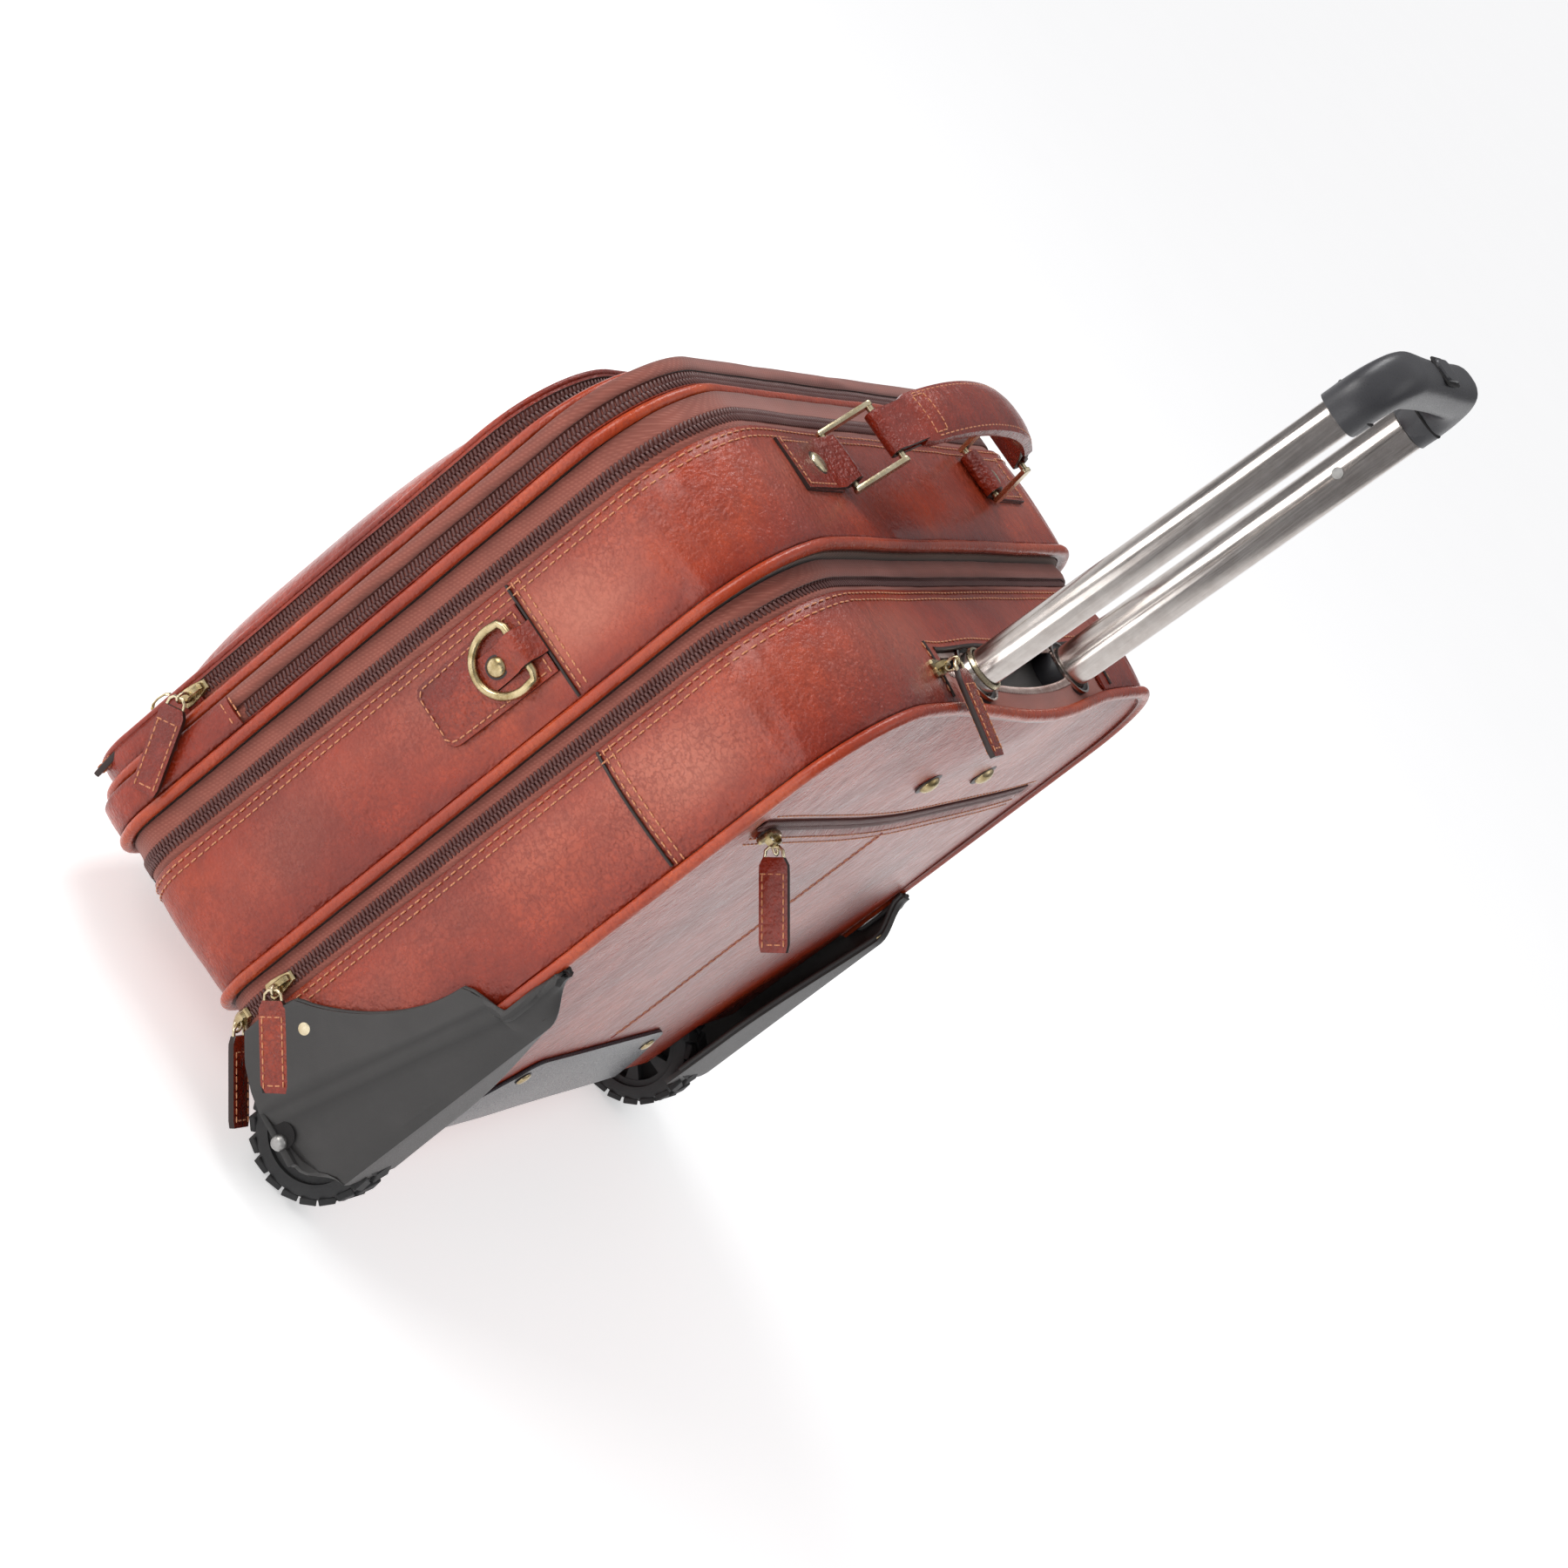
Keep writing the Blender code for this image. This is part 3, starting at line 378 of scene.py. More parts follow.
def between(first, last, steps):
    """Evenly spaced values from first to last."""
    return [first + (last - first) * i / steps for i in range(steps + 1)]


def arc(mid, radii, first, last, steps):
    """Points of an elliptic arc, its angles in degrees."""
    angles = [math.radians(angle) for angle in between(first, last, steps)]
    return [(mid[0] + radii[0] * math.cos(a), mid[1] + radii[1] * math.sin(a)) for a in angles]


def quads(rows, count, joined=False, around=True):
    """Faces between rows of count points: joined links the last row to the first, around closes each row."""
    faces = []
    for i in range(rows if joined else rows - 1):
        a, b = i * count, (i + 1) % rows * count
        for k in range(count if around else count - 1):
            m = (k + 1) % count
            faces.append((a + k, b + k, b + m, a + m))
    return faces


def caps(rows, count):
    """The two end faces of a bar made of rows of count points."""
    return [tuple(range(count)), tuple((rows - 1) * count + k for k in range(count))]


def smoothstep(a, b, value):
    t = min(max((value - a) / (b - a), 0.0), 1.0)
    return t * t * (3.0 - 2.0 * t)


SLOT_BOW = 0.0085         # how far the rear welt bows back behind the trolley slot
SLOT_HALF = 0.13          # the bow dies out this far from the middle
SLOT_END = 0.108          # the slot runs this far either side of the middle


def relaxed(point):
    """The soft body's give: one smooth field that every piece sewn to it follows."""
    x, y, z = point
    wave = 0.0016 * noise.noise(Vector((x * 7.0, y * 12.0 + 3.1, z * 7.0)))
    wave += 0.0006 * noise.noise(Vector((x * 24.0 + 5.0, y * 20.0, z * 24.0)))
    side = min(abs(x) / HALF_W, 1.0) ** 6
    end = min(abs(z - BODY_H / 2.0) / (BODY_H / 2.0), 1.0) ** 6
    moved = Vector((x + math.copysign(wave * side, x), y, z + math.copysign(wave * end, z - BODY_H / 2.0)))
    if y > 0.066 and abs(x) < SLOT_HALF:
        reach = math.cos(math.pi * x / (2.0 * SLOT_HALF)) ** 2
        reach *= smoothstep(0.066, 0.084, y) * smoothstep(REAR_H - 0.085, REAR_H - 0.006, z)
        moved.y += SLOT_BOW * reach
    return moved


class Outline:
    """A rounded rectangle seen from the front, walked from the bottom middle up the +X side and over."""

    def __init__(self, half_w=HALF_W, top=BODY_H, bottom=0.0, top_r=TOP_R, bottom_r=BOTTOM_R, spacing=0.005):
        self.points = []
        runs = [((0.0, bottom), (half_w - bottom_r, bottom)),
                ((half_w - bottom_r, bottom + bottom_r), bottom_r, -90.0),
                ((half_w, bottom + bottom_r), (half_w, top - top_r)),
                ((half_w - top_r, top - top_r), top_r, 0.0),
                ((half_w - top_r, top), (-half_w + top_r, top)),
                ((-half_w + top_r, top - top_r), top_r, 90.0),
                ((-half_w, top - top_r), (-half_w, bottom + bottom_r)),
                ((-half_w + bottom_r, bottom + bottom_r), bottom_r, 180.0),
                ((-half_w + bottom_r, bottom), (0.0, bottom))]
        for run in runs:
            if len(run) == 3:
                centre, radius, first = run
                count = max(int(radius * math.pi / 2.0 / spacing * 1.5), 6)
                for i in range(count):
                    angle = math.radians(first + 90.0 * i / count)
                    nx, nz = math.cos(angle), math.sin(angle)
                    self.points.append((centre[0] + radius * nx, centre[1] + radius * nz, nx, nz))
            else:
                (ax, az), (bx, bz) = run
                length = math.hypot(bx - ax, bz - az)
                normal = ((bz - az) / length, -(bx - ax) / length)
                count = max(int(length / spacing), 1)
                for i in range(count):
                    t = i / count
                    self.points.append((ax + (bx - ax) * t, az + (bz - az) * t, *normal))

    def part(self, keep):
        """The stretch of stations for which keep(x, z) holds, in walking order."""
        return [p for p in self.points if keep(p[0], p[1])]

    def low_part(self, top):
        """The stretch below top: down the -X side, along the bottom and up the +X side."""
        kept = [p for p in self.points if p[1] < top]
        return [p for p in kept if p[0] < -1e-6] + [p for p in kept if p[0] >= -1e-6]

    def walk(self, pitch, offset=0.0, keep=None, start=0.0):
        """Evenly spaced stations along the outline, moved out by offset: (x, z, nx, nz)."""
        ring = [(x + nx * offset, z + nz * offset, nx, nz) for x, z, nx, nz in self.points]
        ring.append(ring[0])
        out = []
        due = start
        gone = 0.0
        for a, b in zip(ring, ring[1:]):
            length = math.hypot(b[0] - a[0], b[1] - a[1])
            while due < gone + length:
                t = (due - gone) / length
                station = [a[k] + (b[k] - a[k]) * t for k in range(4)]
                if keep is None or keep(station[0], station[1]):
                    out.append(tuple(station))
                due += pitch
            gone += length
        return out


def sweep(name, stations, section, materials, closed=True, swell=None):
    """Sweep a closed section round the outline. A section point is (y, out, give, shade, material).

    give is the share of swell(x, y, z) that the point takes outwards.
    """
    verts, shade = [], []
    for x, z, nx, nz in stations:
        for y, out, give, dark, _ in section:
            lift = out + (give * swell(x, y, z) if swell and give else 0.0)
            verts.append(relaxed(Vector((x + nx * lift, y, z + nz * lift))))
            shade.append(dark)
    rings, count = len(stations), len(section)
    faces = quads(rings, count, closed)
    indices = [strip[4] for strip in section] * (rings if closed else rings - 1)
    if not closed:
        faces += caps(rings, count)
        indices += [section[0][4]] * 2
    return mesh_object(name, verts, faces, materials, indices, shade)


def capsules(name, frames, length, radius, material, flat=1.0, soft=True):
    """Many small rounded bars. A frame is (centre, along, up): stitches, coil teeth and the like."""
    sides = 6
    profile = [(-0.5, 0.35), (-0.36, 0.9), (0.0, 1.0), (0.36, 0.9), (0.5, 0.35)]
    bar = quads(len(profile), sides) + caps(len(profile), sides)
    verts, faces = [], []
    for centre, along, up in frames:
        centre = relaxed(centre) if soft else Vector(centre)
        across = along.cross(up)
        faces += [tuple(len(verts) + k for k in face) for face in bar]
        for t, wide in profile:
            for k in range(sides):
                angle = 2.0 * math.pi * k / sides
                verts.append(centre + along * (length * t) + across * (radius * wide * math.cos(angle))
                             + up * (radius * flat * wide * math.sin(angle)))
    return mesh_object(name, verts, faces, [material], smooth_angle=80.0)


STITCH = 0.0033
STITCH_PITCH = 0.0045


def outline_stitches(outline, y, out, start):
    """Stitch frames that run round the outline at one depth."""
    frames = []
    for x, z, nx, nz in outline.walk(STITCH_PITCH, out, None, start):
        frames.append((Vector((x, y, z)), Vector((-nz, 0.0, nx)), Vector((nx, 0.0, nz))))
    return frames


def path_stitches(points, up, pitch=STITCH_PITCH):
    """Stitch frames along a polyline of points."""
    frames = []
    up = Vector(up)
    due = pitch / 2.0
    gone = 0.0
    for a, b in zip(points, points[1:]):
        a, b = Vector(a), Vector(b)
        length = (b - a).length
        if length < 1e-6:
            continue
        along = (b - a) / length
        while due < gone + length:
            frames.append((a + along * (due - gone), along, up))
            due += pitch
        gone += length
    return frames


def stitches(name, frames, body):
    return place(capsules(name, frames, STITCH, 0.00042, THREAD, 0.75), body)


def fine_stitches(name, frames, radius=0.0004, length=0.0029, flat=0.8):
    """The finer rows on the straps and tabs, not yet placed."""
    return capsules(name, frames, length, radius, THREAD, flat, False)


def tube_along(name, points, radius, material, closed=False, sides=12, flat=(0, 1, 0)):
    """A round bar along points, its sides set out from the flat direction so that it doesn't twist."""
    points = [Vector(p) for p in points]
    count = len(points)
    verts = []
    for i, point in enumerate(points):
        before = points[i - 1] if (closed or i > 0) else point
        after = points[(i + 1) % count] if (closed or i < count - 1) else point
        along = (after - before).normalized()
        side = Vector(flat).cross(along)
        side = side.normalized() if side.length > 1e-4 else Vector((1.0, 0.0, 0.0))
        up = along.cross(side)
        for k in range(sides):
            angle = 2.0 * math.pi * k / sides
            verts.append(point + side * (radius * math.cos(angle)) + up * (radius * math.sin(angle)))
    faces = quads(count, sides, closed) + ([] if closed else caps(count, sides))
    return mesh_object(name, verts, faces, [material], smooth_angle=60.0)


def middle_of(outline):
    """The mean of a flat outline's points, and its half sizes about that."""
    mid_u = sum(p[0] for p in outline) / len(outline)
    mid_v = sum(p[1] for p in outline) / len(outline)
    return mid_u, mid_v, max(abs(p[0] - mid_u) for p in outline), max(abs(p[1] - mid_v) for p in outline)


PLAIN_AXES = ((1, 0, 0), (0, 1, 0), (0, 0, 1))


def extruded(name, outline, thickness, material, edge=None, bevel=0.0006, frame_axes=PLAIN_AXES,
             centre=(0.0, 0.0, 0.0), crown=0.0, rings=3):
    """A flat outline (u, v) as a slab with rounded edges; crown swells its top. frame_axes = (u, v, up)."""
    u_axis, v_axis, up = [Vector(axis).normalized() for axis in frame_axes]
    mid_u, mid_v, half_u, half_v = middle_of(outline)
    size = max(half_u, half_v)
    levels = [(0.0, bevel), (bevel, 0.0), (thickness - bevel, 0.0), (thickness, bevel)]
    for i in range(1, rings + 1 if crown else 0):
        levels.append((thickness + crown * (1.0 - (1.0 - i / rings) ** 2),
                       bevel + (size - bevel) * i / rings * 0.98))
    verts = []
    for height, inset in levels:
        share = 1.0 - inset / size
        for u, v in outline:
            verts.append(Vector(centre) + u_axis * (mid_u + (u - mid_u) * share)
                         + v_axis * (mid_v + (v - mid_v) * share) + up * height)
    faces = quads(len(levels), len(outline)) + caps(len(levels), len(outline))
    indices = [1 if edge and i < 2 else 0 for i in range(len(levels) - 1) for _ in outline] + [0, 0]
    return mesh_object(name, verts, faces, [material, edge] if edge else [material], indices)


def rounded(half_u, half_v, radius, mid=(0.0, 0.0), steps=5):
    """A rounded rectangle's outline."""
    out = []
    for su, sv, first in ((1, 1, 0), (-1, 1, 90), (-1, -1, 180), (1, -1, 270)):
        for i in range(steps + 1):
            angle = math.radians(first + 90.0 * i / steps)
            out.append((mid[0] + su * (half_u - radius) + radius * math.cos(angle),
                        mid[1] + sv * (half_v - radius) + radius * math.sin(angle)))
    return out


def inset_path(outline, inset):
    """The outline shrunk towards its middle by about inset, as a closed polyline for a row of stitches."""
    mid_u, mid_v, half_u, half_v = middle_of(outline)
    path = [(mid_u + (u - mid_u) * (1.0 - inset / half_u), mid_v + (v - mid_v) * (1.0 - inset / half_v))
            for u, v in outline]
    return path + path[:1]


def in_space(path, axes, centre, lift=0.0):
    u_axis, v_axis, up = [Vector(a).normalized() for a in axes]
    return [Vector(centre) + u_axis * u + v_axis * v + up * lift for u, v in path]


# ---------------------------------------------------------------- the leather body
BODY = Outline()
REAR_LINE = Outline(top=REAR_H)
SECTION_LINE = Outline(top=SECTION_H)
WELT1_LINE = Outline(half_w=high("front_welt", 0) - WELT_R, top=high("front_welt", 2) - WELT_R, bottom=0.004,
                     top_r=0.052)
POCKET_LINE = Outline(half_w=POCKET_HALF_W, top=POCKET_H, bottom=0.006, top_r=POCKET_R)


def bulge(t):
    """The share of its full swell that a band's skin takes, from edge to edge."""
    return math.sin(math.pi * t) ** 0.8


def folded_section(start, end, thickness=0.003, turned=0.0022, steps=12, lip=0.0):
    """A leather band's section: rolled edges with painted shade along them, a skin that swell() can lift, and
    a lined inside.
    """
    # the fourth value is painted shade: strongest on the turned edges that go into the seams, and fading in
    # from each edge of the skin
    section = [(start + 0.0004, -turned * 0.6, 0.0, 0.9, 0), (start, -turned * 0.25, 0.0, 0.55, 0)]
    for i in range(steps + 1):
        t = i / steps
        y = start + 0.0006 + (end - start - 0.0012) * t
        edge = min(t, 1.0 - t) * (end - start)
        give = bulge(t)
        dark = 0.35 * (1.0 - smoothstep(0.0, 0.0035, edge))
        section.append((y, lip * (1.0 - smoothstep(0.0, 0.004, edge)), give, dark, 0))
    section += [(end, -turned * 0.25, 0.0, 0.55, 0), (end - 0.0004, -turned * 0.6, 0.0, 0.9, 1)]
    section += [(end - 0.0006, -thickness, 0.0, 0.0, 1), (start + 0.0006, -thickness, 0.0, 0.0, 1)]
    return section


FULLNESS = 0.004          # how far a gusset stands proud in its middle
LAP = 0.0012              # the upper gusset lies this far over the lower one
D_BAR_Y, D_BAR_Z = -0.037, 0.232


def gusset_swell(amount):
    """How much a gusset's skin stands proud: fuller low down and away from the corners, with soft puckers."""
    def swell(x, y, z):
        full = amount * (0.55 + 0.45 * noise.noise(Vector((x * 9.0, y * 15.0, z * 9.0))))
        full += 0.0015 * noise.noise(Vector((x * 26.0 + 2.0, y * 14.0, z * 26.0)))
        corner = smoothstep(BODY_H - 0.1, BODY_H - 0.03, z) * smoothstep(HALF_W - 0.1, HALF_W - 0.03, abs(x))
        pucker = 0.0012 * math.sin(420.0 * (abs(x) - z) + 6.0 * noise.noise(Vector((x * 20, y * 9, z * 20))))
        flat = smoothstep(BODY_H - 0.02, BODY_H - 0.005, z) * smoothstep(0.06, 0.085, abs(x))
        flat *= smoothstep(0.19, 0.16, abs(x)) * smoothstep(0.01, -0.01, y)
        from_ring = math.hypot(y - D_BAR_Y, (z - 0.213) * 0.5)
        held = smoothstep(0.046, 0.02, from_ring) * smoothstep(HALF_W - 0.03, HALF_W - 0.01, abs(x))
        return max((full + corner * pucker * 0.5) * (1.0 - 0.8 * max(flat, held)), 0.0003)
    return swell


def painted_sheen_and_shade(obj, start, end):
    """Painted light on a band: painted shade along both edges, and a pale cloudy painted sheen along its
    middle, strongest about the seam's height.
    """
    shade = obj.data.attributes.get("shade") or obj.data.attributes.new("shade", "FLOAT", "POINT")
    painted_sheen = obj.data.attributes.new("painted_sheen", "FLOAT", "POINT")
    for vert in obj.data.vertices:
        t = min(max((vert.co.y - start) / (end - start), 0.0), 1.0)
        cloud = noise.noise(Vector((vert.co.x * 17.0, t * 1.5, vert.co.z * 17.0)))
        inward = smoothstep(0.06, 0.44, min(t + 0.08, 1.0 - t))
        height = 0.16 + 0.84 * math.exp(-((vert.co.z - SEAM_Z) / 0.075) ** 2)
        # painted sheen in the middle; the next line paints shade along the edges
        painted_sheen.data[vert.index].value = min(max(inward * height * (0.8 + 1.1 * cloud), 0.0), 1.0)
        shade.data[vert.index].value = 0.22 * (1.0 - smoothstep(0.0, 0.2, min(t, 1.0 - t)))
    return obj


WELL_X, WELL_Y, WELL_Z = 0.162, 0.033, 0.04     # the corner taken out for each wheel


PAST_SIDE, PAST_BACK, PAST_TOP = 0.25, 0.14, 0.03    # how far a cut reaches, to be clear of the case
SLOT_FRONT = 0.0553                                  # the slot's front edge, in y


def cut_wells(obj):
    """Take out the two corners where the wheels sit."""
    for side, _ in SIDES:
        low_x, high_x = sorted((side * WELL_X, side * PAST_SIDE))
        carve(obj, (low_x, WELL_Y, -PAST_TOP), (high_x, PAST_BACK, WELL_Z))


def cut_slot(obj):
    """Take out the opening that the trolley's tubes rise through."""
    carve(obj, (-SLOT_END, SLOT_FRONT, REAR_H - PAST_TOP), (SLOT_END, PAST_BACK, REAR_H + PAST_TOP))


def gusset_pair(name, outline, start, end, seam_z, body, node, rear=False):
    """A gusset in two pieces: the upper one laps over the lower at a painted seam on each side."""
    swell = gusset_swell(FULLNESS)
    skins = [LEATHER, LINING]
    lower = outline.low_part(seam_z + 0.012)
    upper = outline.part(lambda x, z: z >= seam_z)
    lapped = [(x + nx * LAP, z + nz * LAP, nx, nz) for x, z, nx, nz in upper]
    bottom = sweep(name + "_lower", lower, folded_section(start, end), skins, False, swell)
    top = sweep(name + "_upper", lapped, folded_section(start + 0.0002, end - 0.0002, thickness=0.001), skins,
                False, swell)
    inner = sweep(name + "_inner", upper, folded_section(start, end, steps=4, lip=-0.0003), skins, False)
    if rear:
        cut_wells(bottom)
        cut_slot(top)
        cut_slot(inner)
    place(painted_sheen_and_shade(bottom, start, end), body, (node,))
    place(painted_sheen_and_shade(top, start, end), body)
    place(inner, body)
    for side, tag in SIDES:
        bars, rows = [], []
        for t in between(0.0, 1.0, 16):
            y = start + 0.0008 + (end - start - 0.0016) * t
            lift = LAP + bulge(t) * swell(side * HALF_W, y, seam_z)
            bars.append(relaxed(Vector((side * (HALF_W + lift - 0.0004), y, seam_z))))
            rows.append(Vector((side * (HALF_W + lift + 0.0002), y, seam_z)))
        seam_bar("%s_seam_edge_%s" % (name, tag), body, bars, 0.00085, (1, 0, 0))
        for row, up_by in enumerate((0.003, 0.0068)):
            line = [p + Vector((0, 0, up_by)) for p in rows]
            stitches("%s_seam_stitches_%d_%s" % (name, row, tag), path_stitches(line, (side, 0, 0)), body)


def edge_rows(name, outline, start, end, seam_z, body):
    """Two rows of stitching round a gusset, beside its edge and up on its full skin."""
    swell = gusset_swell(FULLNESS)
    frames = []
    for row, inset in enumerate((0.0028, 0.0068)):
        give = bulge(inset / (end - start))
        for point, along, up in outline_stitches(outline, start + inset, 0.0003, 0.0013 * row):
            lap = LAP * smoothstep(seam_z - 0.0005, seam_z + 0.0005, point.z)
            frames.append((point + up * (give * swell(*point) + lap), along, up))
    stitches(name, frames, body)


def welt(name, outline, y, body, node, keep=None):
    """Piping: a round cord under leather, with the flange it is sewn in by."""
    section = []
    for i in range(12):
        angle = math.radians(-150.0 + 300.0 * i / 11.0)
        # painted shade where the cord turns into the seam on either side, darkest on the flange inside it
        dark = 0.6 if i in (0, 11) else 0.25 if i in (1, 10) else 0.0
        section.append((y + WELT_R * math.sin(angle), 0.0004 + WELT_R * math.cos(angle), 1.0, dark, 0))
    section += [(y + 0.0012, -0.004, 0.0, 0.9, 0), (y - 0.0012, -0.004, 0.0, 0.9, 0)]
    stations = outline.part(keep) if keep else outline.points

    def give(x, _, z):
        return 0.00035 * noise.noise(Vector((x * 45.0, y * 90.0, z * 45.0)))
    piece = sweep(name, stations, section, [PIPING], keep is None, give)
    return place(piece, body, (node,))


def panel_grid(name, outline, y_of, thickness, materials, toward, steps):
    """A panel across an outline: rings from rim to middle, so that it can crown; y_of is its outer face."""
    middle_z = (max(p[1] for p in outline.points) + min(p[1] for p in outline.points)) / 2.0
    verts, faces, indices = [], [], []
    rows = quads(steps, len(outline.points)) + caps(steps, len(outline.points))[1:]
    for layer in (0, 1):
        faces += [tuple(len(verts) + k for k in face) for face in rows]
        indices += [layer] * len(rows)
        for i in range(steps):
            share = math.cos(math.pi / 2.0 * i / steps)
            for x, z, _, _ in outline.points:
                px, pz = x * share, middle_z + (z - middle_z) * share
                y = y_of(px, pz) - toward * thickness * layer
                verts.append(relaxed(Vector((px, y, pz))))
    count, block = len(outline.points), steps * len(outline.points)
    faces += [(k, (k + 1) % count, block + (k + 1) % count, block + k) for k in range(count)]
    indices += [0] * count
    return mesh_object(name, verts, faces, materials, indices)


def tape_band(name, outline, start, end, body, nodes=(), keep=None, ridge=None):
    """One side of a zip's cloth: a thin band with a slight ridge by its coil, and painted shade along its
    edges.
    """
    steps = 6
    section = []
    for i in range(steps + 1):
        y = start + (end - start) * i / steps
        lift = 0.0
        if ridge is not None:
            lift = 0.0007 * (1.0 - smoothstep(0.0, 0.004, abs(y - ridge)))
        # painted shade where the tape runs in under the leather and the piping
        dark = 0.45 * smoothstep(0.0045, 0.0, min(y - start, end - y)) ** 2
        section.append((y, -RECESS + lift, 1.0, dark, 0))
    section += [(end, -RECESS - 0.001, 1.0, 0.5, 0), (start, -RECESS - 0.001, 1.0, 0.5, 0)]

    def ripple(x, y, z):
        return 0.0004 * noise.noise(Vector((x * 60.0, y * 40.0, z * 60.0)))
    stations = outline.part(keep) if keep else outline.points
    piece = sweep(name, stations, section, [TAPE], keep is None, ripple)
    return place(piece, body, nodes)


TOOTH_PITCH = 0.0023
TOOTH, TOOTH_R = 0.0044, 0.00088


def coil(name, outline, y, front_body, back_body, keep, lift=-RECESS + 0.0009):
    """A zip's two rows of nylon teeth, each row on its own side; they mesh half a pitch apart."""
    for row, body in ((-1, front_body), (1, back_body)):
        frames = []
        first = 0.0 if row < 0 else TOOTH_PITCH / 2.0
        for x, z, nx, nz in outline.walk(TOOTH_PITCH, lift, keep, first):
            centre = Vector((x, y + row * (TOOTH / 2.0 - 0.0005), z))
            normal = Vector((nx, 0.0, nz))
            lean = Vector((-nz, 0.0, nx)) * 0.22 * row
            frames.append((centre, (Vector((0.0, 1.0, 0.0)) + lean).normalized(), normal))
        tag = "front" if row < 0 else "back"
        teeth = capsules("%s_teeth_%s" % (name, tag), frames, TOOTH, TOOTH_R, COIL, 0.85)
        place(teeth, body)


def above_base(x, z):
    """Where the compartment zips run: everywhere but the middle of the bottom, where the leather hinges."""
    return z > 0.004 or abs(x) > 0.186


def main_sections():
    gusset_pair("main_gusset", BODY, GUSSET[0], GUSSET[1], SEAM_Z, "front_section", "front_gusset")
    edge_rows("main_gusset_stitches", BODY, GUSSET[0], GUSSET[1], SEAM_Z, "front_section")
    gusset_pair("rear_gusset", REAR_LINE, REAR[0], REAR[1], REAR_SEAM_Z, "root", "rear_gusset", True)
    edge_rows("rear_gusset_stitches", REAR_LINE, REAR[0], REAR[1], REAR_SEAM_Z, "root")
    welt("middle_piping", BODY, 0.0, "front_section", "middle_welt")
    welt("second_piping", SECTION_LINE, Y_WELT2, "pocket_section", "second_welt")
    welt("front_piping", WELT1_LINE, Y_WELT1, "pocket_section", "front_welt")
    welt("rear_piping", REAR_LINE, Y_WELT4, "root", "rear_welt", lambda x, z: z > 0.118)
    tape_band("zip4_tape_front", Outline(top=REAR_H + 0.003), WELT_R + GAP, Y_ZIP4 - 0.0004, "front_section",
              ("front_zip_tape",), ridge=Y_ZIP4 - 0.004)
    tape_band("zip4_tape_back", REAR_LINE, Y_ZIP4 + 0.0004, REAR[0] + 0.001, "root", ("rear_zip_tape",),
              ridge=Y_ZIP4 + 0.004)
    coil("zip4", REAR_LINE, Y_ZIP4, "front_section", "root", above_base)
    tape_band("zip3_tape_front", BODY, Y_WELT2 + WELT_R + GAP, Y_ZIP3 - 0.0004, "pocket_section",
              ("organiser_zip_tape",), ridge=Y_ZIP3 - 0.004)
    tape_band("zip3_tape_back", BODY, Y_ZIP3 + 0.0004, GUSSET[0] + 0.001, "front_section",
              ("laptop_zip_tape",), ridge=Y_ZIP3 + 0.004)
    coil("zip3", BODY, Y_ZIP3, "pocket_section", "front_section", above_base)


def folds():
    """The soft bands inside the bottom that the two compartments open on, glued down on both sides."""
    for name, low_body, high_body, low_y, high_y in (
            ("rear_fold", "front_section", "root", GUSSET[1], REAR[0]),
            ("laptop_fold", "pocket_section", "front_section", Y_WELT2, GUSSET[0])):
        half, lap, steps = HALF_W - BOTTOM_R - 0.006, 0.01, 18
        path = []
        for y in between(low_y - lap, high_y + lap, steps):
            inside = min(y - low_y, high_y - y) / ((high_y - low_y) / 2.0)
            path.append((0.0, y, 0.004 - 0.0016 * smoothstep(-0.6, 1.0, inside)))
        band = strap(name, path, half, 0.001, (1, 0, 0), LINING, LINING)
        place(band, None)
        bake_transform(band)


def slip_pocket():
    """Zip 2, between the two front welts: it starts at a stitched leather end on each side."""
    start, end = Y_WELT1 + WELT_R + GAP, Y_WELT2 - WELT_R - GAP
    swell = gusset_swell(0.0012)
    front = sweep("slip_pocket_front_edge", SECTION_LINE.points,
                  folded_section(start, Y_ZIP2 - 0.0042, steps=6), [TAPE, LINING], True, swell)
    place(front, "pocket_section", ("pocket_gusset",))
    back = sweep("slip_pocket_back_edge", SECTION_LINE.points, folded_section(Y_ZIP2 + 0.0034, end, steps=3),
                 [LEATHER, LINING], True)
    place(back, "pocket_section")
    tape_band("zip2_tape", SECTION_LINE, Y_ZIP2 - 0.0046, Y_ZIP2 + 0.004, "pocket_section",
              ("slip_pocket_zip_tape",), ridge=Y_ZIP2)
    coil("zip2", SECTION_LINE, Y_ZIP2, "pocket_section", "pocket_section", lambda x, z: z > ZIP2_START)
    low_part = SECTION_LINE.low_part(ZIP2_START)
    over = [(x + nx * 0.0011, z + nz * 0.0011, nx, nz) for x, z, nx, nz in low_part]
    section = folded_section(start + 0.0004, end - 0.0004, thickness=0.0008)
    cover = sweep("slip_pocket_lower", over, section, [LEATHER, LINING], False, gusset_swell(0.0022))
    place(cover, "pocket_section")
    for side, tag in SIDES:
        face = HALF_W + 0.0022
        frames = []
        for z in (ZIP2_START - 0.0022, ZIP2_START - 0.0075):
            line = [Vector((side * face, y, z)) for y in between(start + 0.002, end - 0.002, 4)]
            frames += path_stitches(line, (side, 0, 0), 0.0038)
        stitches("slip_pocket_end_stitches_" + tag, frames, "pocket_section")


